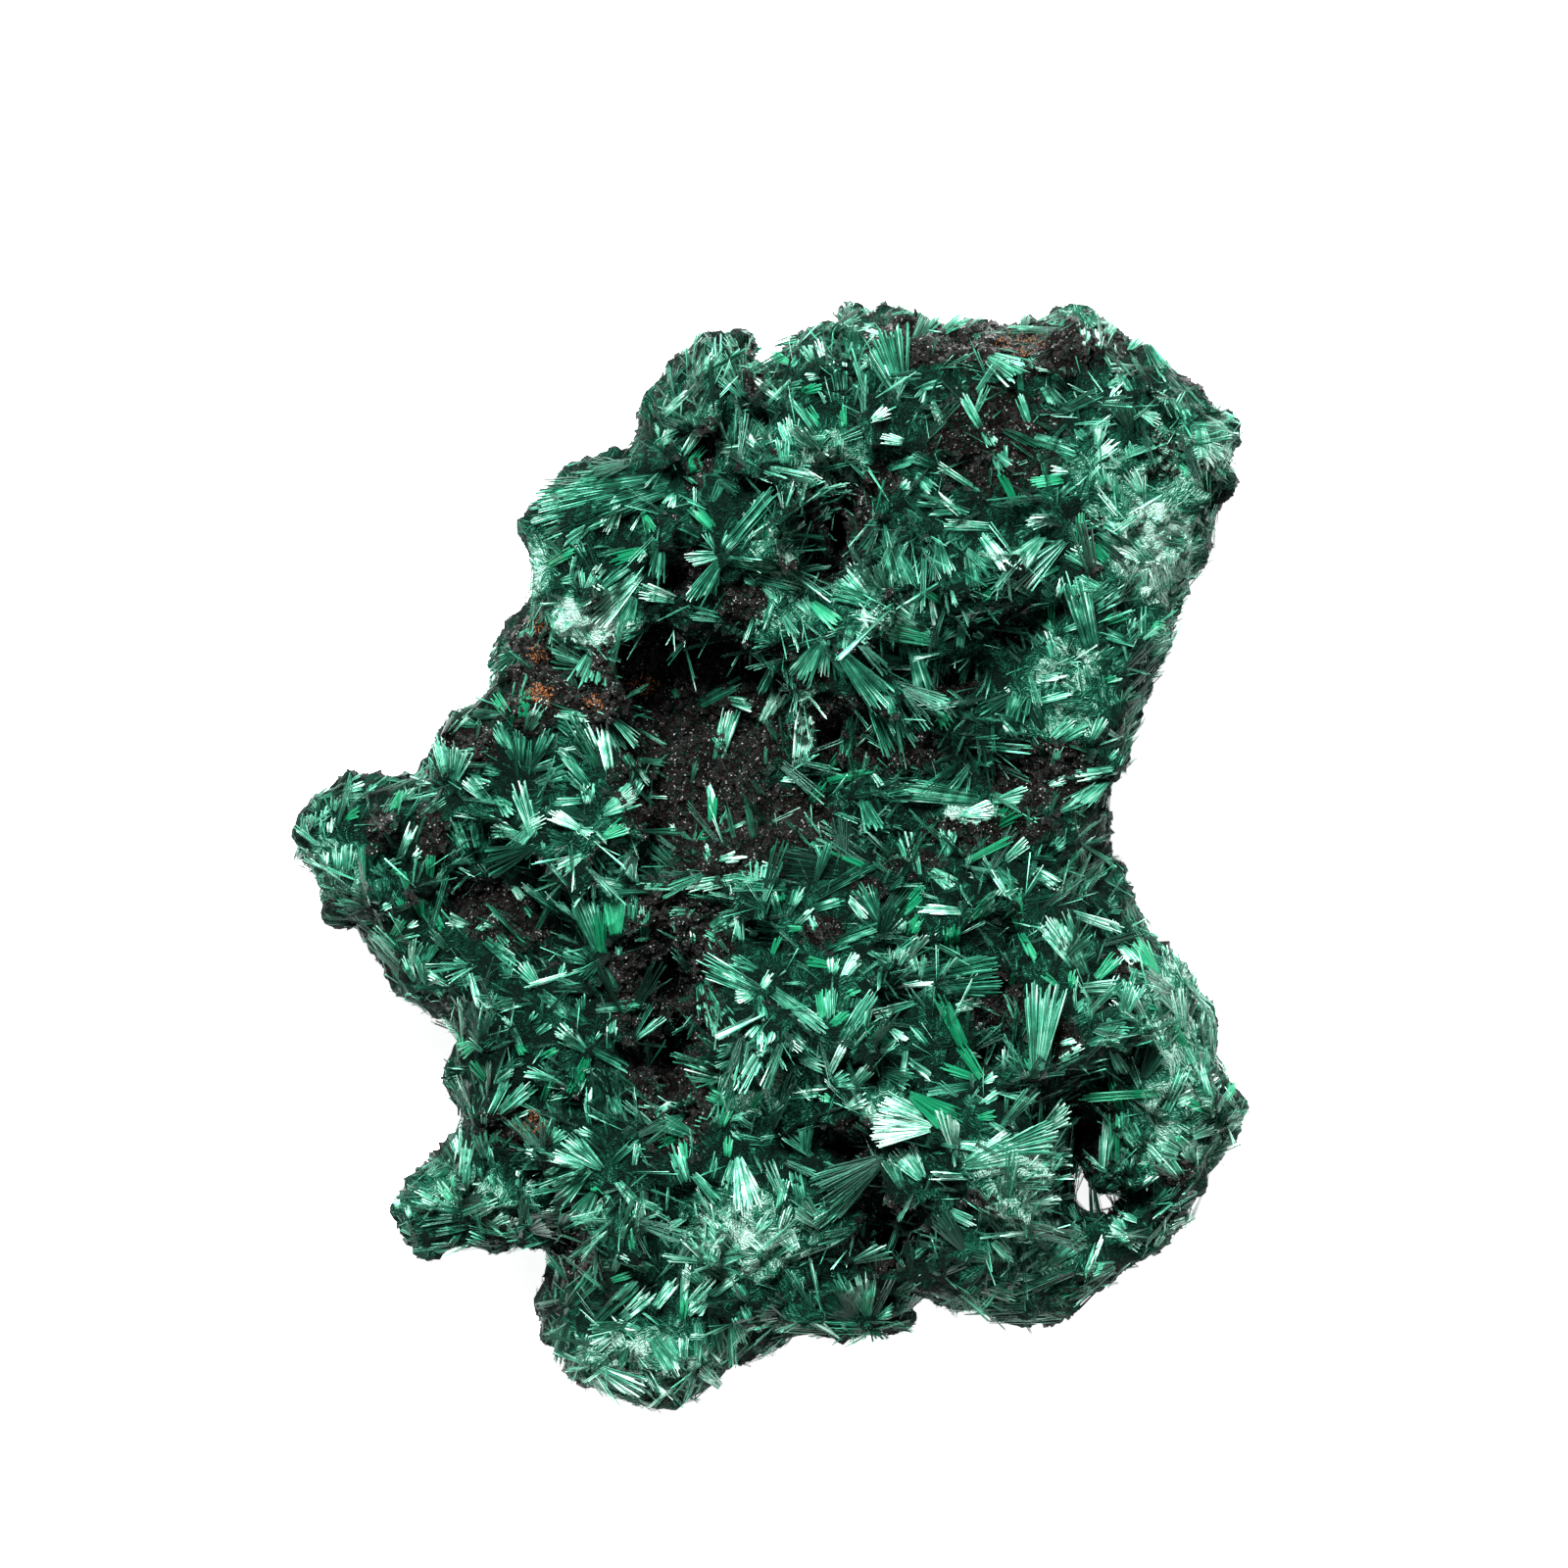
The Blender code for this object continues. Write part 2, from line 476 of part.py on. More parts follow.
def build_cluster():
    """Builds the whole cluster as one closed solid."""
    clear_scene()
    cluster = rough_body()
    grow_fans(cluster)
    cut_resting_faces(cluster)
    keep_largest(cluster)
    fit_to_size(cluster)
    cluster.data.materials.clear()
    cluster.data.materials.append(malachite_material())


build_cluster()
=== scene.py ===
"""The looks of a fibrous malachite cluster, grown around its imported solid.

A rough body takes the solid's place. On it grow the sprays that stand out in the
photograph, each laid by its own pixels, then seeded sprays, splinters, felt and
grit all over. Shapes are modelled in millimetres and handed over in metres.
"""

import sys
import json
import logging
import math
from dataclasses import dataclass, field, replace
from enum import Enum
from typing import Callable, Iterable, Sequence

import bmesh
import bpy
import numpy as np
from mathutils import Matrix, Vector, noise
from mathutils.bvhtree import BVHTree

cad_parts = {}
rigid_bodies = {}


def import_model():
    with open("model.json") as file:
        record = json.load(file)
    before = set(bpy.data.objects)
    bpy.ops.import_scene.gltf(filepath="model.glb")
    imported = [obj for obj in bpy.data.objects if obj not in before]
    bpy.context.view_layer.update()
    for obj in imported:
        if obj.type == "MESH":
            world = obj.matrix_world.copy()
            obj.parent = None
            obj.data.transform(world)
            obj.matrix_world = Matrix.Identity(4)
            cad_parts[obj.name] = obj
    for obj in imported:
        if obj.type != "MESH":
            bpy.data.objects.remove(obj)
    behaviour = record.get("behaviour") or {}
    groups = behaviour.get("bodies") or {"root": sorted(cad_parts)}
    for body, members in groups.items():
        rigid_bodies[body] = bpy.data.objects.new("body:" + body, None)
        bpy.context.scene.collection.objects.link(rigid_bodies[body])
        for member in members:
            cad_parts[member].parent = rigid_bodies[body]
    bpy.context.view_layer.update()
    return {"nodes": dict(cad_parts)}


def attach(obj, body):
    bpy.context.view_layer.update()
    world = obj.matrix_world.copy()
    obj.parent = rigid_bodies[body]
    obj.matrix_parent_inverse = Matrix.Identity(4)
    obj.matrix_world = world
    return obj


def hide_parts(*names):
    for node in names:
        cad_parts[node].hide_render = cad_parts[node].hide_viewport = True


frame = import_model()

log = logging.getLogger("malachite")

MILLIMETRE = 0.001
PIXEL = 0.1
PHOTO_SIZE = 1600
BOX_CENTRE_PX = (787.0, 879.0)
BODY_NODE = "malachite_cluster"
ROOT_BODY = "root"

CAMERA_HEIGHT = 1220.0
CAMERA_LENS = 270.0
CAMERA_SENSOR = 36.0
CAMERA_REACH = 50.0
MIDDLE_HEIGHT = 20.0

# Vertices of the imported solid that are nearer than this, in metres, are one.
JOIN_DISTANCE = 1e-7
# Where along a placed spray its patch and its pull are read.
SPRAY_MIDDLE = 0.6
HALF_TURN = 3.1416

Colour = tuple[float, float, float]
Pixel = tuple[float, float]


class Tone(Enum):
    """How a spray of fibres looks, as a number that the fibre finish reads."""

    DEEP = -0.7
    PLAIN = 0.0
    VIVID = 0.25
    # Silk and pale sprays are lighter partly as painted sheen, where they catch the light.
    SILK = 0.55
    PALE = 0.9


class Field(Enum):
    """What a patch paints on the body's skin."""

    MATRIX = "matrix"
    RUST = "rust"
    # Pale felt and dust, with painted sheen.
    PALE = "pale"
    VIVID = "vivid"
    # Painted shade, with darker tone.
    SHADE_AND_DARK = "dark"
    BARE = "bare"


@dataclass(frozen=True)
class Ramp:
    """A straight line between two limits.

    Args:
        slope: Its rise for each unit.
        start: Its height at 0.
        least: Lower limit.
        most: Upper limit.
    """

    slope: float
    start: float = 0.0
    least: float = 0.0
    most: float = 1.0

    def of(self, values: np.ndarray) -> np.ndarray:
        """The line's height.

        Args:
            values: Where it is read.

        Returns:
            One height per value.
        """
        return np.clip(values * self.slope + self.start, self.least, self.most)


@dataclass(frozen=True)
class Patch:
    """One soft-edged ellipse on the skin, placed by the photograph's pixels.

    Args:
        x: Column of its centre.
        y: Row of its centre.
        wide: Half its width in pixels.
        high: Half its height in pixels.
        strength: What it paints at its centre, up to 1.
        turn: Turn in degrees, anticlockwise as the photograph is seen.
    """

    x: float
    y: float
    wide: float
    high: float
    strength: float = 1.0
    turn: float = 0.0


@dataclass(frozen=True)
class Lump:
    """One rounded mass that joins the body, placed by the photograph's pixels.

    Args:
        x: Column of its centre.
        y: Row of its centre.
        z: Height of its centre in millimetres.
        wide: Half its width in millimetres.
        high: Half its height in the photograph, in millimetres.
        deep: Half its depth in millimetres.
    """

    x: float
    y: float
    z: float
    wide: float
    high: float
    deep: float


@dataclass(frozen=True)
class Flow:
    """A stretch of skin where the sprays grow one way.

    Args:
        x: Column of its centre.
        y: Row of its centre.
        reach: Radius in pixels.
        heading: Direction from root to tip in degrees, anticlockwise from the right.
    """

    x: float
    y: float
    reach: float
    heading: float


@dataclass(frozen=True)
class Spray:
    """One spray that can be told apart in the photograph.

    Args:
        root: Pixel where its fibres meet.
        tip: Pixel at the middle of its ragged end.
        spread: Width of the ragged end in pixels.
        tone: How its fibres look.
        lift: How far the tip stands off the skin, in millimetres.
    """

    root: Pixel
    tip: Pixel
    spread: float
    tone: Tone
    lift: float

    def plan(self) -> tuple[np.ndarray, np.ndarray, float]:
        """The spray as seen from above.

        Returns:
            Its root in millimetres, the way to its tip, and its length.
        """
        root = np.array(skin_point(*self.root))
        along = np.array(skin_point(*self.tip)) - root
        return root, along, float(np.hypot(*along))


PATCHES: dict[Field, tuple[Patch, ...]] = {
    Field.MATRIX: (
        Patch(640, 690, 95, 48), Patch(715, 735, 75, 75), Patch(705, 800, 65, 60),
        Patch(790, 835, 55, 28, 0.9), Patch(542, 668, 22, 34), Patch(545, 710, 25, 36, 0.9),
        Patch(860, 745, 45, 30, 0.9), Patch(915, 760, 40, 26, 0.8), Patch(770, 690, 60, 22, 0.9),
        Patch(850, 530, 34, 58), Patch(690, 1065, 42, 95), Patch(668, 1005, 44, 50, 0.95),
        Patch(1040, 352, 95, 34, 0.75), Patch(1010, 452, 62, 52, 0.55),
        Patch(930, 352, 45, 24, 0.8), Patch(1035, 640, 24, 16, 0.8), Patch(1062, 790, 48, 32, 0.85),
        Patch(1010, 845, 60, 20, 0.8), Patch(972, 695, 26, 16, 0.8), Patch(1015, 1020, 26, 26),
        Patch(870, 1160, 24, 20, 0.9), Patch(1100, 1160, 34, 40), Patch(908, 1262, 30, 32),
        Patch(586, 1280, 20, 26), Patch(505, 930, 52, 26, 0.9, -25), Patch(525, 1150, 34, 22, 0.8),
        Patch(480, 760, 26, 20, 0.8), Patch(388, 850, 14, 22, 0.8), Patch(1075, 1060, 24, 20, 0.8),
        Patch(750, 880, 70, 18, 0.6), Patch(690, 935, 40, 30, 0.8), Patch(1110, 560, 14, 30, 0.8),
        Patch(700, 585, 26, 20), Patch(716, 470, 12, 34, 0.9, -15), Patch(770, 375, 10, 30, 0.9),
        Patch(1150, 980, 20, 14, 0.8), Patch(1200, 1190, 18, 20, 0.8), Patch(725, 965, 22, 16, 0.9),
        Patch(930, 880, 30, 14, 0.6), Patch(1010, 1225, 30, 16, 0.6), Patch(900, 490, 20, 16, 0.7),
        Patch(620, 710, 40, 26), Patch(885, 905, 16, 12, 0.7), Patch(440, 850, 16, 26, 0.8),
        Patch(760, 620, 26, 20, 0.8), Patch(1185, 470, 20, 26, 0.6), Patch(840, 950, 20, 14, 0.7),
    ),
    Field.RUST: (
        Patch(548, 635, 12, 12), Patch(548, 668, 12, 10), Patch(552, 708, 16, 12),
        Patch(606, 718, 14, 10), Patch(655, 698, 20, 12), Patch(675, 455, 12, 12),
        Patch(715, 540, 10, 14), Patch(1195, 1000, 18, 10), Patch(538, 1145, 22, 14),
        Patch(1040, 352, 36, 22, 0.75), Patch(600, 695, 60, 26, 0.6), Patch(720, 780, 60, 50, 0.35),
        Patch(765, 370, 10, 24, 0.7), Patch(940, 365, 30, 18, 0.5), Patch(1190, 470, 24, 12, 0.4),
        Patch(485, 760, 20, 14, 0.6), Patch(690, 1200, 30, 10, 0.6), Patch(400, 845, 12, 12, 0.6),
        Patch(490, 1272, 24, 8, 0.6), Patch(1080, 400, 40, 30, 0.35), Patch(620, 1410, 20, 8, 0.4),
    ),
    # Pale dusty felt, and painted sheen where sprays catch the light.
    Field.PALE: (
        Patch(582, 634, 20, 22, 1.0), Patch(604, 645, 28, 18), Patch(634, 640, 22, 14, 0.9),
        Patch(548, 585, 16, 28, 0.75), Patch(520, 545, 36, 34, 0.55),
        Patch(1030, 1180, 48, 26, 0.8), Patch(1175, 560, 50, 60, 0.85),
        Patch(1190, 490, 40, 50, 0.6), Patch(1200, 1140, 45, 50, 0.6),
        Patch(1040, 1210, 45, 50, 0.7), Patch(1200, 1060, 40, 40, 0.7),
        Patch(1040, 1290, 50, 40, 0.5), Patch(800, 570, 40, 40, 0.6), Patch(1010, 330, 50, 16, 0.5),
        Patch(1120, 480, 40, 40, 0.5), Patch(905, 1130, 30, 22, 0.6), Patch(990, 830, 30, 12, 0.9),
        Patch(905, 632, 34, 18, 0.7), Patch(1140, 530, 40, 30, 0.6), Patch(1205, 1015, 40, 42, 0.7),
        Patch(345, 885, 34, 30, 0.4), Patch(625, 855, 36, 26, 0.6), Patch(1095, 325, 50, 24, 0.5),
        Patch(762, 1262, 66, 46, 0.75), Patch(820, 722, 14, 30, 0.6), Patch(645, 1385, 80, 36, 0.7),
        Patch(740, 452, 40, 30, 0.4), Patch(470, 1215, 60, 26, 0.6), Patch(1088, 330, 20, 12, 0.6),
        Patch(560, 495, 26, 14, 0.6), Patch(1235, 450, 26, 20, 0.6), Patch(790, 630, 40, 18, 0.6),
        Patch(1190, 640, 14, 60, 0.5), Patch(1262, 1145, 10, 10, 0.9), Patch(950, 330, 60, 14, 0.4),
        Patch(845, 478, 40, 40, 0.7), Patch(1085, 700, 42, 52, 0.65), Patch(765, 1100, 38, 38, 0.6),
        Patch(1165, 1180, 30, 30, 0.4), Patch(920, 625, 34, 24, 0.6), Patch(860, 600, 20, 24, 0.5),
    ),
    Field.VIVID: (
        Patch(1020, 960, 120, 70, 0.8), Patch(620, 940, 50, 50, 0.6), Patch(840, 1300, 90, 50, 0.6),
        Patch(970, 1130, 60, 40, 0.6), Patch(800, 540, 50, 40, 0.6), Patch(1110, 560, 30, 60, 0.5),
        Patch(550, 725, 40, 14, 0.6), Patch(1180, 1170, 50, 60, 0.4), Patch(880, 1310, 40, 30, 0.7),
    ),
    # Painted shade in the hollows and slots, and a darker tone on other stretches.
    Field.SHADE_AND_DARK: (
        Patch(520, 930, 60, 60, 0.8), Patch(535, 620, 40, 40, 0.5), Patch(400, 960, 50, 40, 0.7),
        Patch(935, 1105, 50, 40, 0.6), Patch(560, 1070, 60, 60, 0.6),
        Patch(660, 1030, 60, 90, 0.95), Patch(560, 980, 50, 50, 0.8), Patch(720, 1060, 45, 60, 0.9),
        Patch(525, 790, 40, 34, 0.9), Patch(880, 900, 40, 34, 0.6), Patch(640, 1140, 50, 40, 0.7),
        Patch(985, 760, 40, 40, 0.7), Patch(480, 740, 45, 40, 1.0), Patch(540, 480, 60, 50, 1.0),
        Patch(720, 345, 45, 40, 1.0), Patch(560, 1370, 50, 50, 0.7), Patch(720, 500, 40, 40, 0.5),
        Patch(400, 800, 40, 40, 0.6), Patch(700, 1120, 40, 50, 0.6), Patch(1000, 720, 30, 30, 0.5),
        Patch(860, 880, 60, 40, 0.6), Patch(980, 1290, 70, 50, 0.7), Patch(860, 560, 50, 40, 0.8),
        Patch(1040, 880, 60, 40, 0.6), Patch(470, 1060, 40, 40, 0.5), Patch(880, 1190, 60, 40, 0.8),
        Patch(1000, 315, 80, 30, 1.0), Patch(1100, 640, 30, 30, 0.6), Patch(1040, 420, 60, 50, 0.5),
        Patch(1090, 1090, 40, 50, 0.5), Patch(690, 1190, 60, 26, 0.5),
    ),
    Field.BARE: (
        Patch(590, 650, 50, 14, 0.8, -20), Patch(680, 636, 60, 14, 0.9),
        Patch(770, 652, 50, 14, 0.8), Patch(600, 640, 34, 26, 0.7), Patch(850, 620, 30, 20, 0.5),
        Patch(770, 610, 44, 20, 0.6), Patch(1107, 1218, 24, 32, 1.0),
        Patch(1134, 1228, 26, 28, 1.0), Patch(575, 660, 40, 20, 0.9, 40),
        Patch(610, 640, 34, 26, 0.95), Patch(660, 640, 40, 20, 0.9), Patch(740, 655, 60, 16, 0.9),
    ),
}

LUMPS = (
    Lump(588, 626, 27.0, 3.0, 2.8, 2.4), Lump(604, 646, 26.4, 2.4, 1.8, 1.9),
    Lump(626, 642, 26.2, 2.2, 1.7, 1.8), Lump(572, 600, 26.5, 2.4, 3.0, 3.2),
    Lump(638, 634, 26.0, 3.0, 1.6, 2.2), Lump(752, 352, 14.0, 2.0, 1.6, 5.0),
    Lump(905, 1345, 9.5, 3.2, 2.0, 3.0), Lump(1256, 1140, 11.0, 1.6, 3.4, 3.5),
    Lump(1252, 440, 15.0, 1.6, 2.4, 4.0), Lump(500, 1270, 8.0, 3.6, 1.2, 2.2),
    Lump(345, 928, 10.0, 2.0, 2.0, 3.0), Lump(868, 318, 16.0, 1.6, 1.2, 3.0),
    Lump(1095, 322, 17.0, 2.4, 1.4, 3.0),
)
HOLES = (
    Lump(1104, 1206, 10.0, 1.3, 2.2, 30.0), Lump(1107, 1228, 10.0, 1.3, 2.2, 30.0),
    Lump(1132, 1232, 10.0, 1.6, 1.9, 30.0), Lump(1140, 1221, 10.0, 1.3, 1.1, 30.0),
)

DIPS = (
    Patch(850, 535, 30, 52, 6.5), Patch(692, 1065, 36, 85, 4.5), Patch(1015, 1020, 24, 24, 3.5),
    Patch(1100, 1160, 30, 38, 4.0), Patch(908, 1266, 26, 28, 3.5), Patch(586, 1280, 16, 24, 3.0),
    Patch(520, 922, 48, 22, 2.5), Patch(640, 740, 60, 40, 1.0), Patch(980, 692, 30, 20, 2.5),
    Patch(1040, 640, 24, 16, 2.0), Patch(682, 588, 22, 14, 3.0), Patch(716, 470, 8, 34, 2.0, -15),
    Patch(860, 750, 40, 20, 1.5), Patch(1062, 790, 40, 26, 1.8), Patch(870, 1160, 20, 16, 2.0),
    Patch(770, 372, 8, 26, 3.0), Patch(525, 1150, 30, 16, 1.5),
)

FLOWS = (
    Flow(590, 540, 60, 175), Flow(600, 600, 50, 225), Flow(700, 400, 45, 130),
    Flow(760, 450, 45, 200), Flow(740, 520, 40, 250), Flow(800, 520, 45, 95),
    Flow(860, 420, 60, 85), Flow(950, 400, 70, 60), Flow(1050, 400, 70, 250),
    Flow(1150, 380, 60, 200), Flow(1230, 440, 40, 100), Flow(1200, 500, 50, 240),
    Flow(1110, 520, 50, 215), Flow(960, 590, 60, 268), Flow(880, 690, 70, 255),
    Flow(1000, 690, 50, 225), Flow(1120, 640, 60, 270), Flow(1150, 720, 50, 300),
    Flow(1050, 840, 60, 10), Flow(620, 930, 55, 275), Flow(700, 900, 60, 200),
    Flow(780, 910, 60, 180), Flow(560, 800, 60, 150), Flow(630, 850, 50, 210),
    Flow(340, 880, 50, 190), Flow(430, 860, 50, 30), Flow(450, 960, 60, 140),
    Flow(560, 1050, 60, 250), Flow(600, 1130, 60, 190), Flow(740, 1060, 60, 120),
    Flow(850, 1020, 60, 240), Flow(980, 1010, 60, 290), Flow(1070, 1040, 50, 98),
    Flow(1150, 940, 60, 310), Flow(1200, 1040, 50, 250), Flow(1220, 1130, 50, 60),
    Flow(1150, 1200, 50, 40), Flow(1000, 1200, 60, 65), Flow(920, 1150, 50, 160),
    Flow(860, 1240, 60, 140), Flow(800, 1310, 70, 150), Flow(660, 1340, 70, 160),
    Flow(620, 1400, 60, 200), Flow(470, 1230, 50, 175), Flow(1060, 1310, 60, 200),
    Flow(730, 1180, 50, 250), Flow(640, 1240, 50, 220),
)

# Root column and row, tip column and row, and the ragged end's width, in pixels.
SPRAY_ROWS: dict[Tone, tuple[tuple[int, int, int, int, int], ...]] = {
    Tone.DEEP: (
        (688, 494, 540, 520, 64), (1114, 1203, 1117, 1248, 9), (684, 396, 690, 370, 15),
        (640, 478, 600, 470, 16), (650, 446, 662, 480, 26), (700, 440, 676, 432, 10),
        (702, 532, 679, 519, 26), (702, 532, 688, 552, 22), (986, 558, 997, 604, 20),
        (1227, 537, 1184, 511, 42), (698, 566, 661, 569, 28), (1152, 577, 1115, 549, 11),
        (560, 700, 590, 682, 8), (590, 705, 580, 690, 14), (796, 667, 773, 714, 9),
        (1062, 642, 1027, 610, 13), (1068, 660, 1050, 640, 14), (1066, 748, 1050, 715, 14),
        (1068, 776, 1052, 752, 8), (602, 839, 566, 818, 24), (1108, 862, 1135, 852, 9),
        (366, 945, 350, 930, 10), (870, 890, 785, 878, 30), (893, 946, 926, 904, 18),
        (600, 1010, 560, 1003, 18), (616, 978, 593, 997, 14), (655, 1086, 640, 1045, 8),
        (1163, 1106, 1180, 1070, 24), (1176, 1092, 1166, 1060, 18), (905, 1180, 832, 1225, 60),
        (1080, 1162, 1092, 1129, 13), (1088, 1152, 1086, 1130, 16), (1101, 1162, 1116, 1120, 22),
        (1126, 1144, 1104, 1130, 18), (1170, 1186, 1140, 1165, 14), (426, 1262, 410, 1248, 14),
        (466, 1232, 500, 1216, 9), (570, 1226, 582, 1195, 14), (1150, 1222, 1180, 1222, 10),
        (890, 1345, 912, 1296, 9),
    ),
    Tone.PLAIN: (
        (1090, 318, 1070, 330, 18), (1100, 318, 1120, 332, 16), (735, 341, 700, 364, 11),
        (740, 372, 752, 392, 8), (790, 352, 815, 345, 8), (830, 372, 820, 352, 10),
        (855, 346, 861, 326, 15), (990, 345, 1030, 345, 18), (1168, 348, 1190, 381, 22),
        (1190, 382, 1226, 421, 22), (690, 420, 722, 385, 13), (824, 466, 848, 440, 8),
        (960, 478, 928, 465, 12), (1020, 436, 1062, 457, 10), (1048, 444, 1101, 463, 15),
        (1053, 441, 1038, 402, 7), (1090, 400, 1075, 385, 12), (1160, 478, 1150, 450, 10),
        (1180, 470, 1165, 445, 12), (1198, 402, 1212, 432, 20), (645, 482, 574, 492, 18),
        (885, 538, 905, 566, 14), (904, 538, 926, 606, 34), (982, 515, 934, 512, 11),
        (984, 558, 1012, 592, 22), (558, 622, 588, 667, 24), (650, 604, 634, 641, 22),
        (735, 564, 712, 555, 10), (742, 632, 700, 624, 16), (775, 600, 760, 588, 12),
        (798, 582, 822, 535, 18), (830, 630, 815, 610, 16), (1022, 585, 1002, 562, 18),
        (1044, 598, 1080, 574, 20), (1104, 618, 1140, 596, 16), (1130, 604, 1096, 592, 20),
        (843, 646, 811, 697, 36), (848, 652, 866, 700, 26), (856, 664, 905, 722, 34),
        (880, 690, 928, 768, 50), (894, 667, 932, 681, 13), (920, 650, 925, 676, 12),
        (958, 655, 975, 640, 12), (1040, 706, 1000, 730, 20), (1106, 650, 1086, 582, 14),
        (1112, 701, 1106, 680, 6), (1165, 700, 1167, 620, 11), (515, 790, 490, 785, 12),
        (540, 786, 572, 777, 11), (544, 782, 561, 744, 15), (635, 765, 659, 801, 15),
        (1026, 742, 1040, 706, 18), (1114, 757, 1126, 730, 13), (308, 852, 312, 832, 14),
        (322, 816, 340, 804, 10), (326, 832, 318, 817, 14), (340, 830, 344, 812, 12),
        (543, 801, 582, 785, 17), (1066, 876, 1086, 855, 16), (300, 880, 306, 866, 8),
        (352, 925, 336, 908, 12), (371, 902, 368, 862, 8), (378, 892, 375, 862, 9),
        (645, 950, 646, 905, 12), (735, 945, 757, 915, 12), (826, 918, 892, 880, 12),
        (900, 880, 862, 896, 10), (1040, 921, 1090, 911, 6), (373, 962, 366, 940, 10),
        (406, 1002, 400, 972, 15), (430, 987, 444, 962, 12), (462, 1030, 446, 1010, 12),
        (545, 965, 515, 940, 8), (604, 1030, 668, 1023, 10), (835, 968, 900, 944, 10),
        (880, 977, 896, 1007, 6), (905, 980, 940, 954, 7), (955, 1023, 940, 1000, 8),
        (960, 1008, 1024, 1004, 26), (1120, 1010, 1100, 1030, 10), (602, 1070, 648, 1092, 10),
        (708, 1092, 697, 1062, 8), (858, 1064, 897, 1008, 16), (1134, 1070, 1147, 1096, 16),
        (1240, 1060, 1234, 1030, 12), (462, 1190, 440, 1200, 12), (484, 1146, 477, 1124, 8),
        (498, 1190, 488, 1155, 18), (605, 1190, 558, 1225, 40), (612, 1135, 612, 1105, 8),
        (630, 1140, 622, 1105, 16), (700, 1137, 680, 1150, 18), (712, 1162, 672, 1140, 22),
        (1170, 1180, 1152, 1146, 14), (1220, 1190, 1210, 1172, 16), (1226, 1180, 1248, 1162, 14),
        (430, 1215, 418, 1204, 12), (470, 1242, 425, 1247, 10), (470, 1268, 440, 1276, 12),
        (472, 1206, 479, 1160, 12), (480, 1251, 445, 1258, 9), (500, 1268, 478, 1262, 12),
        (1035, 1215, 1060, 1200, 16), (1178, 1228, 1195, 1214, 14), (578, 1335, 612, 1294, 22),
        (580, 1350, 570, 1390, 20), (608, 1350, 650, 1306, 14), (725, 1340, 738, 1380, 20),
        (745, 1308, 714, 1282, 26), (874, 1346, 790, 1290, 80), (880, 1355, 790, 1350, 22),
        (944, 1288, 1045, 1322, 22), (1010, 1346, 1090, 1344, 12), (1015, 1285, 955, 1270, 26),
        (1068, 1292, 1108, 1254, 32), (1105, 1292, 1030, 1322, 14), (1140, 1290, 1110, 1300, 20),
        (680, 1362, 700, 1392, 12),
    ),
    Tone.SILK: (
        (933, 346, 945, 320, 9), (958, 341, 987, 324, 15), (1062, 393, 1076, 415, 8),
        (1068, 391, 1086, 416, 9), (1125, 345, 1138, 332, 10), (1150, 360, 1165, 342, 14),
        (674, 426, 702, 400, 11), (762, 450, 782, 430, 15), (855, 402, 850, 366, 8),
        (948, 404, 961, 433, 9), (1003, 441, 980, 400, 8), (1010, 458, 1030, 482, 22),
        (1026, 479, 1025, 454, 6), (1155, 400, 1135, 375, 14), (1160, 420, 1185, 430, 16),
        (1200, 470, 1225, 462, 14), (1221, 448, 1246, 472, 26), (1224, 430, 1232, 481, 20),
        (560, 500, 572, 518, 12), (604, 535, 576, 556, 16), (662, 552, 692, 560, 9),
        (688, 492, 541, 534, 66), (690, 500, 682, 518, 14), (725, 517, 738, 489, 10),
        (930, 480, 956, 504, 15), (1066, 546, 1032, 578, 28), (1077, 511, 1096, 491, 9),
        (1142, 512, 1134, 484, 9), (1169, 509, 1151, 479, 20), (1215, 555, 1185, 545, 16),
        (599, 602, 616, 574, 12), (600, 575, 588, 552, 9), (612, 600, 640, 576, 12),
        (735, 566, 800, 491, 15), (735, 566, 748, 540, 10), (735, 572, 705, 617, 22),
        (738, 571, 792, 581, 11), (797, 582, 795, 515, 46), (866, 639, 864, 664, 10),
        (899, 618, 846, 600, 20), (1116, 624, 1152, 602, 13), (1117, 582, 1088, 562, 13),
        (1170, 600, 1165, 580, 12), (1195, 590, 1190, 565, 14), (530, 664, 500, 692, 32),
        (545, 640, 506, 682, 40), (625, 705, 634, 697, 7), (656, 641, 628, 652, 15),
        (685, 700, 694, 715, 5), (738, 713, 769, 721, 14), (845, 650, 833, 690, 26),
        (905, 704, 922, 752, 20), (930, 655, 946, 712, 20), (1116, 668, 1096, 590, 30),
        (455, 792, 447, 750, 15), (470, 790, 500, 802, 12), (490, 742, 470, 735, 14),
        (509, 730, 478, 728, 15), (526, 777, 505, 738, 15), (531, 780, 530, 744, 14),
        (560, 727, 602, 734, 9), (560, 731, 587, 747, 13), (586, 779, 569, 764, 9),
        (619, 735, 636, 767, 13), (650, 742, 628, 755, 10), (706, 723, 758, 693, 14),
        (731, 780, 748, 718, 22), (1074, 782, 1082, 762, 9), (1154, 732, 1170, 702, 13),
        (320, 848, 318, 828, 16), (346, 814, 374, 812, 8), (350, 808, 372, 800, 9),
        (390, 832, 405, 808, 6), (407, 879, 424, 838, 11), (410, 818, 426, 803, 11),
        (424, 838, 456, 814, 11), (491, 872, 485, 834, 14), (530, 848, 498, 835, 9),
        (531, 851, 498, 846, 20), (548, 840, 520, 870, 18), (598, 871, 565, 889, 21),
        (601, 802, 574, 769, 10), (735, 844, 743, 827, 7), (1002, 816, 907, 803, 24),
        (334, 888, 328, 870, 11), (345, 892, 344, 862, 10), (380, 932, 400, 922, 8),
        (396, 896, 380, 884, 13), (481, 882, 461, 837, 13), (490, 955, 530, 985, 12),
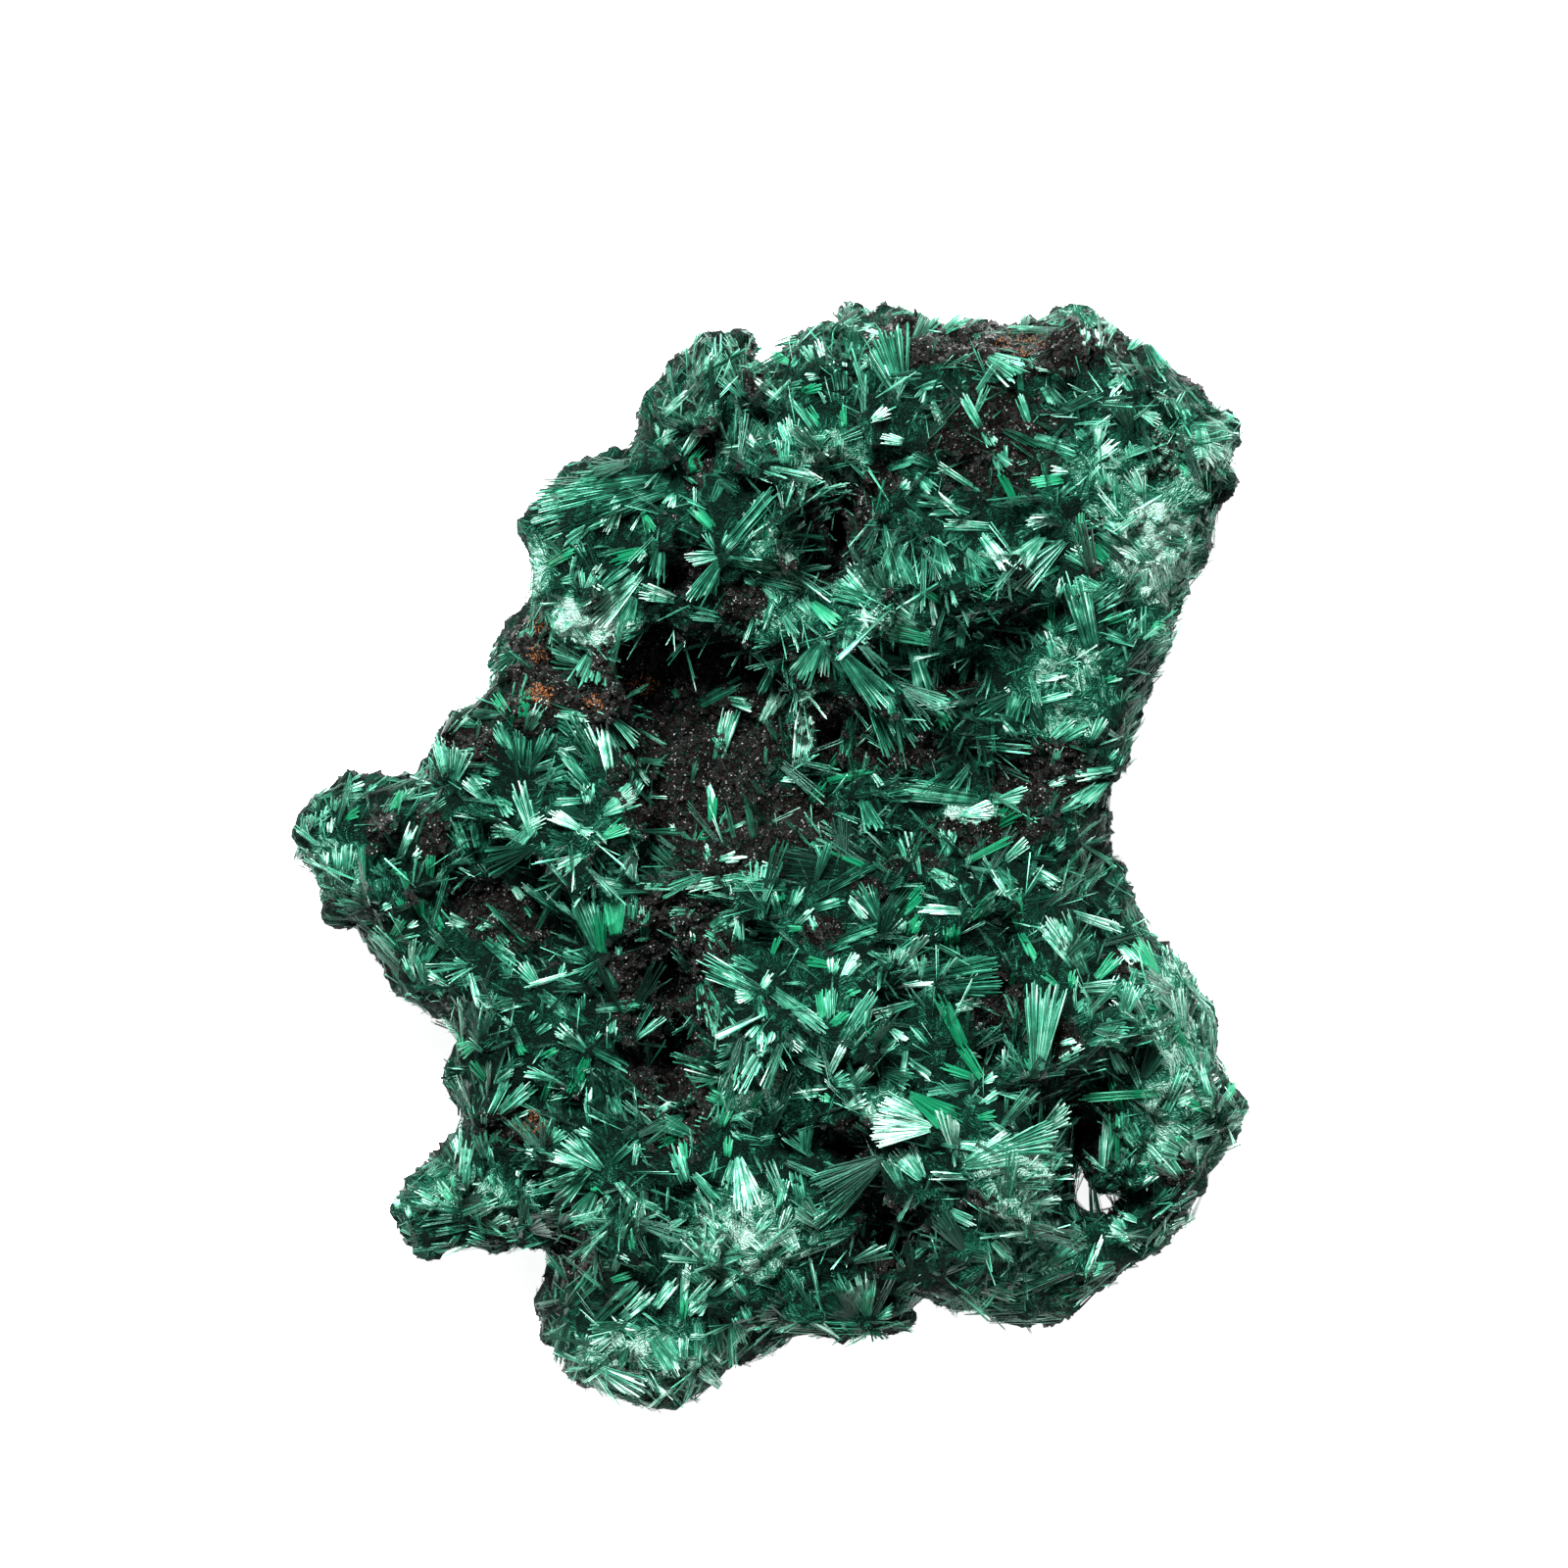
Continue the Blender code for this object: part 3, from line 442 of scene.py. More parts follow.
        (500, 942, 520, 965, 8), (501, 892, 489, 850, 17), (546, 951, 573, 894, 6),
        (640, 906, 606, 898, 12), (720, 952, 766, 924, 24), (796, 936, 786, 908, 8),
        (802, 950, 770, 943, 14), (900, 946, 878, 900, 30), (1010, 900, 990, 890, 10),
        (1015, 884, 1036, 905, 16), (1101, 902, 1123, 881, 9), (1128, 930, 1146, 925, 14),
        (396, 986, 388, 970, 10), (404, 960, 428, 956, 11), (424, 1002, 412, 975, 13),
        (436, 1005, 420, 972, 7), (470, 985, 480, 1012, 7), (548, 1010, 580, 1035, 14),
        (552, 1010, 530, 982, 22), (570, 1002, 576, 984, 8), (595, 1038, 590, 1015, 14),
        (614, 976, 588, 906, 34), (615, 984, 631, 1016, 9), (716, 997, 742, 1058, 40),
        (775, 992, 745, 978, 14), (775, 1012, 709, 980, 26), (775, 1015, 778, 1042, 9),
        (784, 1008, 845, 1054, 16), (937, 995, 927, 966, 10), (938, 997, 1022, 980, 18),
        (1100, 992, 1062, 944, 10), (1108, 994, 1071, 932, 38), (1112, 1017, 1141, 1014, 8),
        (1130, 1000, 1160, 1030, 10), (1152, 974, 1140, 962, 7), (474, 1058, 510, 1020, 8),
        (505, 1119, 520, 1100, 12), (534, 1076, 513, 1030, 9), (540, 1080, 508, 1092, 10),
        (540, 1045, 546, 1033, 6), (545, 1057, 560, 1045, 7), (688, 1072, 695, 1060, 12),
        (798, 1078, 816, 1098, 12), (800, 1048, 824, 1068, 7), (810, 1078, 842, 1090, 10),
        (832, 1076, 804, 1072, 12), (860, 1110, 890, 1105, 14), (925, 1080, 952, 1101, 7),
        (1058, 1094, 1068, 998, 46), (1110, 1045, 1114, 1028, 4), (1128, 1055, 1133, 1037, 4),
        (1208, 1064, 1220, 1090, 10), (470, 1140, 474, 1106, 14), (470, 1182, 464, 1158, 14),
        (505, 1140, 545, 1106, 18), (530, 1120, 548, 1108, 8), (601, 1132, 600, 1108, 7),
        (604, 1192, 562, 1180, 14), (618, 1196, 572, 1160, 34), (656, 1150, 649, 1130, 9),
        (664, 1142, 692, 1118, 5), (722, 1152, 736, 1138, 8), (750, 1178, 742, 1215, 16),
        (752, 1176, 766, 1240, 38), (792, 1120, 850, 1113, 8), (946, 1141, 899, 1121, 24),
        (1000, 1128, 1022, 1114, 9), (1012, 1176, 1078, 1152, 40), (1125, 1198, 1128, 1140, 10),
        (1140, 1150, 1162, 1172, 16), (1148, 1162, 1147, 1130, 11), (1201, 1190, 1185, 1160, 10),
        (1235, 1121, 1222, 1080, 9), (466, 1236, 420, 1218, 14), (470, 1238, 508, 1223, 10),
        (476, 1217, 477, 1183, 7), (492, 1205, 489, 1190, 5), (533, 1215, 548, 1205, 9),
        (610, 1212, 588, 1244, 26), (628, 1203, 655, 1236, 12), (632, 1270, 640, 1248, 5),
        (640, 1222, 690, 1245, 10), (724, 1208, 733, 1172, 5), (770, 1262, 785, 1240, 14),
        (820, 1235, 810, 1192, 12), (880, 1215, 828, 1248, 30), (922, 1216, 905, 1179, 18),
        (960, 1232, 996, 1251, 13), (1010, 1262, 1032, 1286, 14), (1056, 1220, 1076, 1204, 12),
        (1066, 1267, 1058, 1235, 6), (1102, 1251, 1092, 1228, 9), (1120, 1218, 1148, 1206, 8),
        (1130, 1252, 1164, 1275, 12), (1150, 1257, 1133, 1240, 14), (1225, 1215, 1208, 1222, 10),
        (625, 1300, 632, 1280, 6), (655, 1358, 628, 1350, 10), (710, 1345, 718, 1385, 18),
        (722, 1325, 755, 1300, 10), (745, 1340, 760, 1372, 18), (758, 1288, 719, 1243, 22),
        (765, 1330, 750, 1310, 14), (769, 1352, 757, 1332, 8), (785, 1285, 815, 1265, 5),
        (874, 1342, 850, 1298, 20), (886, 1347, 878, 1300, 36), (914, 1346, 936, 1302, 9),
        (1050, 1334, 976, 1334, 14), (590, 1400, 640, 1425, 20), (630, 1360, 605, 1375, 14),
        (662, 1360, 695, 1405, 24), (735, 1415, 715, 1395, 16),
    ),
    Tone.VIVID: (
        (768, 360, 777, 357, 8), (806, 371, 783, 361, 10), (848, 346, 856, 334, 9),
        (891, 379, 882, 364, 13), (700, 479, 719, 455, 9), (736, 414, 724, 392, 13),
        (816, 401, 838, 394, 13), (842, 440, 822, 415, 8), (862, 442, 860, 410, 7),
        (655, 520, 665, 545, 16), (699, 484, 716, 470, 18), (733, 544, 703, 514, 12),
        (1037, 515, 1018, 478, 9), (1092, 488, 1051, 493, 13), (1229, 501, 1205, 478, 21),
        (558, 577, 586, 561, 11), (662, 560, 620, 573, 13), (794, 579, 771, 524, 10),
        (826, 612, 857, 639, 22), (868, 623, 880, 600, 9), (962, 615, 940, 602, 6),
        (1000, 613, 1015, 602, 8), (1073, 636, 1073, 618, 7), (1103, 561, 1103, 523, 9),
        (1124, 574, 1104, 562, 6), (1124, 637, 1150, 625, 13), (1135, 578, 1107, 551, 14),
        (1174, 636, 1191, 641, 8), (961, 657, 900, 646, 16), (1073, 644, 1067, 634, 9),
        (1125, 696, 1140, 690, 8), (527, 740, 503, 708, 13), (533, 741, 537, 701, 17),
        (617, 774, 593, 776, 7), (842, 798, 897, 785, 9), (846, 784, 858, 769, 6),
        (954, 721, 968, 743, 14), (1149, 735, 1128, 702, 15), (348, 838, 366, 826, 13),
        (400, 828, 413, 805, 9), (611, 857, 641, 842, 19), (711, 861, 725, 845, 11),
        (726, 846, 727, 805, 10), (825, 821, 843, 797, 10), (1018, 843, 1041, 830, 9),
        (1018, 838, 1030, 822, 12), (1100, 832, 1110, 818, 8), (374, 882, 386, 864, 10),
        (396, 892, 410, 888, 11), (400, 956, 413, 936, 12), (412, 932, 408, 917, 12),
        (416, 908, 408, 886, 9), (432, 940, 425, 918, 10), (439, 897, 440, 870, 11),
        (455, 956, 443, 932, 9), (798, 922, 797, 911, 14), (822, 947, 804, 947, 6),
        (890, 886, 842, 862, 10), (915, 936, 945, 905, 14), (984, 880, 1038, 853, 7),
        (990, 938, 1017, 913, 13), (1041, 949, 1029, 900, 22), (1041, 950, 1059, 985, 8),
        (1087, 913, 1094, 896, 5), (615, 974, 611, 930, 14), (629, 963, 626, 908, 26),
        (788, 975, 796, 955, 8), (850, 986, 820, 979, 10), (862, 1016, 876, 1010, 8),
        (924, 962, 939, 934, 13), (968, 978, 967, 945, 8), (976, 966, 976, 944, 8),
        (1029, 1011, 1046, 985, 17), (1082, 1009, 1064, 992, 6), (1092, 1011, 1096, 990, 13),
        (1115, 1002, 1141, 973, 14), (1182, 996, 1156, 958, 24), (1190, 1031, 1172, 1026, 7),
        (472, 1080, 478, 1060, 18), (490, 1062, 468, 1074, 16), (497, 1104, 480, 1083, 9),
        (525, 1060, 535, 1076, 8), (572, 1068, 549, 1082, 9), (600, 1078, 581, 1119, 12),
        (730, 1114, 722, 1098, 10), (839, 1042, 838, 1008, 12), (844, 1050, 868, 1030, 11),
        (911, 1069, 883, 1049, 13), (924, 1114, 980, 1149, 36), (986, 1074, 957, 1013, 14),
        (999, 1101, 961, 1088, 10), (1002, 1100, 978, 1064, 13), (1024, 1084, 1046, 1077, 8),
        (1056, 1100, 1047, 1078, 8), (1149, 1079, 1156, 1030, 15), (1185, 1114, 1086, 1121, 9),
        (1213, 1071, 1193, 1040, 10), (512, 1132, 525, 1118, 10), (553, 1126, 562, 1102, 5),
        (695, 1158, 672, 1167, 9), (700, 1190, 696, 1164, 10), (735, 1153, 742, 1128, 14),
        (742, 1186, 744, 1160, 12), (748, 1128, 720, 1115, 14), (766, 1132, 777, 1113, 8),
        (850, 1124, 836, 1118, 14), (994, 1142, 1016, 1137, 11), (1060, 1162, 1080, 1150, 18),
        (1138, 1187, 1136, 1132, 13), (1145, 1136, 1130, 1091, 8), (1196, 1155, 1213, 1172, 7),
        (1240, 1136, 1208, 1121, 12), (1250, 1124, 1262, 1104, 12), (462, 1216, 462, 1200, 6),
        (466, 1229, 444, 1204, 9), (603, 1208, 613, 1224, 13), (1148, 1214, 1140, 1190, 8),
        (1150, 1216, 1175, 1190, 15), (620, 1308, 647, 1298, 8), (650, 1302, 643, 1252, 5),
        (696, 1350, 699, 1318, 8), (884, 1344, 884, 1316, 14), (1070, 1333, 1107, 1314, 9),
        (1108, 1319, 1118, 1285, 17),
    ),
    Tone.PALE: (
        (714, 384, 732, 362, 13), (764, 378, 738, 342, 9), (800, 396, 820, 392, 8),
        (805, 381, 815, 362, 6), (840, 383, 820, 386, 8), (840, 366, 834, 346, 9),
        (868, 322, 866, 308, 12), (871, 396, 868, 364, 9), (880, 320, 899, 317, 8),
        (881, 359, 862, 345, 8), (884, 352, 897, 341, 11), (895, 330, 880, 334, 8),
        (907, 347, 880, 338, 11), (932, 399, 963, 389, 7), (939, 344, 956, 324, 13),
        (945, 394, 937, 409, 12), (1044, 337, 1046, 322, 9), (1050, 361, 1058, 376, 5),
        (1108, 361, 1106, 329, 13), (1120, 358, 1121, 337, 11), (1128, 396, 1144, 387, 9),
        (674, 456, 686, 440, 18), (692, 471, 713, 440, 13), (728, 460, 766, 457, 7),
        (742, 456, 748, 430, 5), (744, 422, 748, 396, 7), (754, 455, 782, 447, 15),
        (756, 425, 748, 402, 4), (772, 456, 756, 440, 12), (797, 408, 769, 385, 13),
        (807, 457, 796, 426, 12), (835, 444, 808, 406, 9), (857, 471, 855, 446, 9),
        (862, 402, 861, 370, 6), (885, 432, 908, 418, 16), (903, 479, 937, 467, 9),
        (926, 452, 898, 446, 12), (1001, 437, 1015, 456, 16), (1042, 403, 1041, 365, 6),
        (1110, 441, 1137, 427, 14), (1111, 452, 1098, 438, 11), (1113, 473, 1142, 451, 17),
        (1119, 460, 1123, 431, 17), (1129, 419, 1143, 398, 15), (1214, 434, 1251, 440, 15),
        (600, 499, 571, 507, 5), (636, 500, 618, 545, 18), (696, 484, 711, 495, 4),
        (801, 480, 798, 444, 14), (918, 500, 928, 490, 13), (955, 546, 952, 595, 50),
        (976, 523, 945, 523, 7), (981, 526, 957, 503, 5), (1000, 544, 1029, 581, 15),
        (1016, 538, 959, 534, 9), (1092, 482, 1072, 479, 8), (1128, 503, 1124, 479, 15),
        (1235, 496, 1253, 452, 15), (570, 594, 587, 590, 8), (582, 600, 590, 566, 8),
        (595, 604, 594, 580, 5), (625, 610, 606, 596, 10), (656, 583, 602, 634, 36),
        (690, 612, 652, 602, 20), (729, 561, 720, 543, 9), (735, 566, 699, 572, 17),
        (767, 589, 820, 602, 8), (793, 602, 778, 646, 6), (882, 560, 901, 571, 7),
        (897, 621, 862, 578, 46), (949, 606, 956, 644, 5), (968, 606, 985, 612, 8),
        (983, 628, 999, 619, 7), (1058, 609, 1018, 587, 7), (1074, 616, 1065, 597, 8),
        (1078, 612, 1084, 592, 6), (1130, 575, 1092, 560, 13), (1162, 562, 1114, 533, 20),
        (1166, 572, 1144, 560, 12), (1174, 576, 1104, 500, 30), (1195, 604, 1190, 580, 14),
        (567, 663, 592, 667, 4), (870, 645, 894, 661, 7), (894, 648, 876, 618, 11),
        (904, 680, 943, 682, 5), (962, 658, 899, 628, 46), (979, 669, 984, 625, 9),
        (983, 640, 996, 622, 13), (1005, 652, 992, 645, 8), (1056, 717, 1094, 707, 6),
        (1060, 694, 1088, 689, 8), (1080, 680, 1066, 642, 9), (1084, 644, 1100, 638, 6),
        (1118, 671, 1136, 660, 11), (1150, 644, 1160, 632, 12), (1160, 658, 1124, 645, 9),
        (1174, 674, 1190, 652, 15), (540, 739, 556, 714, 14), (611, 767, 591, 739, 17),
        (623, 791, 613, 735, 13), (624, 732, 654, 760, 19), (660, 785, 674, 788, 6),
        (722, 798, 728, 822, 8), (724, 747, 742, 769, 4), (774, 746, 797, 702, 15),
        (795, 795, 816, 797, 5), (814, 789, 826, 715, 23), (860, 777, 873, 716, 19),
        (870, 763, 893, 741, 7), (889, 787, 903, 807, 6), (989, 759, 1056, 766, 11),
        (1044, 760, 1021, 733, 5), (1070, 756, 1097, 733, 14), (1082, 757, 1110, 740, 11),
        (1130, 777, 1142, 765, 6), (1140, 788, 1155, 752, 9), (1146, 756, 1125, 742, 4),
        (1146, 784, 1094, 793, 11), (1148, 732, 1130, 703, 3), (1160, 726, 1150, 710, 6),
        (328, 852, 332, 820, 6), (336, 852, 338, 833, 8), (372, 808, 383, 801, 9),
        (420, 878, 430, 868, 10), (502, 821, 474, 794, 15), (504, 811, 523, 831, 19),
        (529, 849, 557, 834, 15), (530, 848, 536, 799, 10), (588, 845, 606, 851, 15),
        (592, 846, 560, 829, 15), (600, 829, 600, 797, 18), (600, 817, 564, 820, 7),
        (611, 833, 653, 807, 32), (631, 861, 647, 892, 12), (644, 817, 656, 794, 9),
        (690, 850, 684, 842, 8), (734, 879, 762, 875, 5), (978, 832, 1014, 825, 20),
        (1068, 802, 1086, 795, 12), (1090, 848, 1102, 844, 4), (1130, 816, 1100, 812, 5),
        (318, 888, 314, 868, 14), (354, 897, 356, 862, 14), (368, 913, 366, 896, 8),
        (388, 886, 411, 876, 7), (414, 948, 426, 940, 9), (457, 926, 446, 906, 7),
        (480, 945, 456, 938, 18), (484, 952, 508, 933, 9), (519, 900, 534, 918, 9),
        (534, 923, 545, 936, 4), (650, 903, 638, 875, 13), (700, 906, 648, 903, 6),
        (725, 880, 718, 861, 5), (727, 881, 751, 871, 5), (760, 895, 700, 906, 12),
        (775, 955, 762, 948, 5), (795, 888, 777, 882, 9), (805, 905, 742, 897, 24),
        (806, 931, 817, 903, 14), (812, 944, 830, 926, 7), (828, 928, 862, 918, 8),
        (835, 954, 826, 935, 5), (862, 912, 886, 938, 9), (945, 885, 975, 905, 18),
        (984, 930, 932, 927, 9), (1024, 880, 1050, 858, 13), (1046, 882, 1084, 908, 14),
        (1094, 932, 1147, 950, 9), (1146, 956, 1132, 940, 10), (386, 971, 378, 953, 10),
        (460, 1007, 430, 991, 7), (478, 990, 489, 1027, 6), (480, 988, 463, 980, 8),
        (520, 1000, 517, 983, 14), (603, 983, 572, 972, 16), (605, 986, 522, 1012, 3),
        (632, 981, 631, 965, 6), (658, 962, 657, 924, 11), (708, 966, 705, 950, 5),
        (712, 1000, 720, 1048, 22), (748, 962, 753, 942, 4), (762, 1005, 730, 985, 14),
        (775, 1014, 750, 1018, 18), (776, 1012, 788, 990, 10), (846, 972, 868, 962, 7),
        (848, 1000, 852, 976, 16), (859, 999, 877, 973, 14), (915, 1034, 893, 1036, 8),
        (922, 960, 913, 936, 22), (972, 1030, 1003, 1021, 12), (978, 986, 973, 962, 8),
        (1098, 1009, 1142, 1006, 15), (1108, 996, 1082, 944, 12), (1128, 996, 1146, 976, 7),
        (1140, 960, 1160, 985, 12), (1174, 997, 1150, 990, 7), (1184, 992, 1160, 964, 8),
        (1231, 1036, 1216, 1010, 10), (497, 1097, 498, 1084, 4), (528, 1114, 538, 1110, 5),
        (566, 1101, 533, 1096, 8), (575, 1104, 560, 1096, 10), (600, 1074, 570, 1048, 26),
        (600, 1045, 560, 1020, 16), (607, 1063, 614, 1052, 3), (622, 1074, 626, 1032, 14),
        (745, 1104, 727, 1099, 5), (772, 1093, 741, 1078, 8), (775, 1050, 777, 1070, 12),
        (776, 1044, 757, 1062, 7), (790, 1050, 786, 1066, 6), (845, 1108, 866, 1098, 20),
        (846, 1096, 862, 1062, 9), (848, 1045, 848, 1008, 14), (870, 1110, 888, 1088, 14),
        (884, 1052, 886, 1026, 6), (906, 1048, 926, 1063, 12), (925, 1066, 920, 1113, 7),
        (951, 1071, 930, 1048, 6), (984, 1074, 1003, 1079, 6), (993, 1108, 941, 1115, 9),
        (1002, 1106, 1016, 1097, 12), (1067, 1094, 1069, 1052, 10), (1079, 1066, 1098, 1062, 8),
        (1079, 1083, 1107, 1067, 11), (1079, 1119, 1079, 1086, 3), (1108, 1067, 1142, 1054, 18),
        (1118, 1060, 1144, 1057, 7), (1126, 1068, 1143, 1064, 4), (1127, 1106, 1128, 1083, 12),
        (1168, 1041, 1146, 999, 9), (1190, 1068, 1172, 1038, 10), (1212, 1091, 1203, 1080, 5),
        (1250, 1096, 1212, 1044, 14), (494, 1150, 494, 1135, 6), (497, 1144, 520, 1098, 7),
        (503, 1196, 498, 1168, 5), (506, 1170, 502, 1154, 8), (520, 1142, 541, 1133, 6),
        (560, 1124, 566, 1114, 6), (560, 1168, 576, 1150, 20), (572, 1190, 556, 1199, 7),
        (602, 1150, 597, 1120, 4), (608, 1160, 585, 1150, 12), (622, 1190, 650, 1162, 8),
        (647, 1192, 651, 1166, 7), (705, 1196, 733, 1226, 12), (762, 1166, 748, 1155, 6),
        (771, 1153, 750, 1139, 7), (822, 1180, 823, 1144, 18), (862, 1132, 884, 1120, 16),
        (880, 1170, 862, 1150, 20), (953, 1151, 888, 1145, 52), (960, 1166, 999, 1170, 10),
        (978, 1191, 1048, 1164, 46), (1008, 1144, 1026, 1156, 5), (1034, 1133, 1049, 1121, 9),
        (1039, 1156, 1027, 1140, 5), (1060, 1190, 1076, 1178, 14), (1070, 1149, 1068, 1118, 6),
        (1133, 1180, 1130, 1140, 3), (1173, 1166, 1180, 1152, 4), (1186, 1143, 1210, 1088, 13),
        (1196, 1128, 1246, 1101, 20), (1214, 1162, 1240, 1150, 13), (1262, 1132, 1250, 1110, 7),
        (408, 1234, 404, 1223, 8), (418, 1246, 416, 1231, 8), (470, 1256, 460, 1273, 7),
        (480, 1245, 506, 1231, 6), (500, 1250, 520, 1240, 12), (505, 1213, 500, 1196, 5),
        (520, 1258, 532, 1242, 14), (527, 1204, 531, 1194, 6), (543, 1256, 534, 1221, 6),
        (580, 1232, 553, 1237, 7), (625, 1214, 604, 1240, 10), (703, 1214, 687, 1166, 17),
        (738, 1245, 756, 1230, 8), (794, 1242, 802, 1203, 9), (903, 1258, 908, 1229, 9),
        (905, 1249, 860, 1237, 11), (946, 1209, 916, 1171, 36), (988, 1201, 944, 1199, 10),
        (1002, 1253, 1034, 1180, 66), (1076, 1267, 1078, 1243, 7), (1096, 1226, 1078, 1196, 11),
        (1148, 1216, 1161, 1199, 9), (1155, 1216, 1180, 1200, 5), (1161, 1246, 1136, 1235, 8),
        (1208, 1206, 1174, 1165, 19), (632, 1348, 668, 1316, 16), (664, 1340, 693, 1301, 11),
        (668, 1297, 632, 1282, 12), (697, 1335, 702, 1287, 8), (700, 1345, 716, 1325, 14),
        (725, 1325, 704, 1335, 26), (774, 1352, 792, 1330, 8), (785, 1285, 762, 1262, 7),
        (815, 1280, 798, 1256, 22), (893, 1346, 917, 1334, 20), (912, 1322, 942, 1304, 12),
        (1106, 1306, 1125, 1261, 5), (610, 1395, 660, 1418, 30), (698, 1394, 698, 1364, 9),
    ),
}

# How far each tone's tips stand off the skin, in millimetres.
LIFTS = {Tone.DEEP: 0.1, Tone.PLAIN: 0.2, Tone.SILK: 0.35, Tone.VIVID: 0.6, Tone.PALE: 0.5}
SPRAYS = tuple(
    Spray((row[0], row[1]), (row[2], row[3]), row[4], tone, LIFTS[tone])
    for tone, rows in SPRAY_ROWS.items() for row in rows
)


def skin_point(x: float, y: float) -> tuple[float, float]:
    """Place in millimetres of a pixel, as seen straight from above.

    Args:
        x: The pixel's column.
        y: The pixel's row.

    Returns:
        X and Y in millimetres from the centre of the cluster's box.
    """
    return (x - BOX_CENTRE_PX[0]) * PIXEL, (BOX_CENTRE_PX[1] - y) * PIXEL


CAMERA_XY = skin_point(PHOTO_SIZE / 2, PHOTO_SIZE / 2)


def evaluated_mesh(thing: bpy.types.Object) -> bpy.types.Mesh:
    """The plain mesh that an object's modifiers make.

    Args:
        thing: An object in the scene.

    Returns:
        A new mesh with its attributes kept.
    """
    graph = bpy.context.evaluated_depsgraph_get()
    return bpy.data.meshes.new_from_object(
        thing.evaluated_get(graph), preserve_all_data_layers=True, depsgraph=graph
    )


def linked_object(name: str, mesh: bpy.types.Mesh) -> bpy.types.Object:
    """Puts a mesh into the scene as a new object.

    Args:
        name: The piece's name.
        mesh: Its mesh.

    Returns:
        The new object.
    """
    thing = bpy.data.objects.new(name, mesh)
    bpy.context.scene.collection.objects.link(thing)
    return thing


def vertex_places(mesh: bpy.types.Mesh) -> np.ndarray:
    """A mesh's vertices.

    Args:
        mesh: The mesh.

    Returns:
        One row of x, y and z per vertex.
    """
    places = np.empty(len(mesh.vertices) * 3, np.float32)
    mesh.vertices.foreach_get("co", places)
    return places.reshape(-1, 3)


def vertex_normals(mesh: bpy.types.Mesh) -> np.ndarray:
    """A mesh's vertex normals.

    Args:
        mesh: The mesh.

    Returns:
        One row of x, y and z per vertex.
    """
    normals = np.empty(len(mesh.vertices) * 3, np.float32)
    mesh.vertex_normals.foreach_get("vector", normals)
    return normals.reshape(-1, 3)


def even_skin(thing: bpy.types.Object, name: str, voxel: float) -> None:
    """Adds a voxel remesh, which joins what overlaps.

    Args:
        thing: The object that takes it.
        name: The modifier's name.
        voxel: Its voxel size in millimetres.
    """
    remesh = thing.modifiers.new(name, "REMESH")
    remesh.mode = "VOXEL"
    remesh.voxel_size = voxel


def hand_over(thing: bpy.types.Object, replaced: str = "") -> bpy.types.Object:
    """Turns a finished piece into metres and fixes it to the frame.

    Args:
        thing: The piece, modelled in millimetres.
        replaced: A CAD node that it stands for, if any.

    Returns:
        The piece.
    """
    thing.data.transform(Matrix.Scale(MILLIMETRE, 4))
    thing.data.update()
    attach(thing, ROOT_BODY)
    if replaced:
        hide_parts(replaced)
    triangles = sum(len(face.vertices) - 2 for face in thing.data.polygons)
    log.info("%s: %d triangles", thing.name, triangles)
    return thing


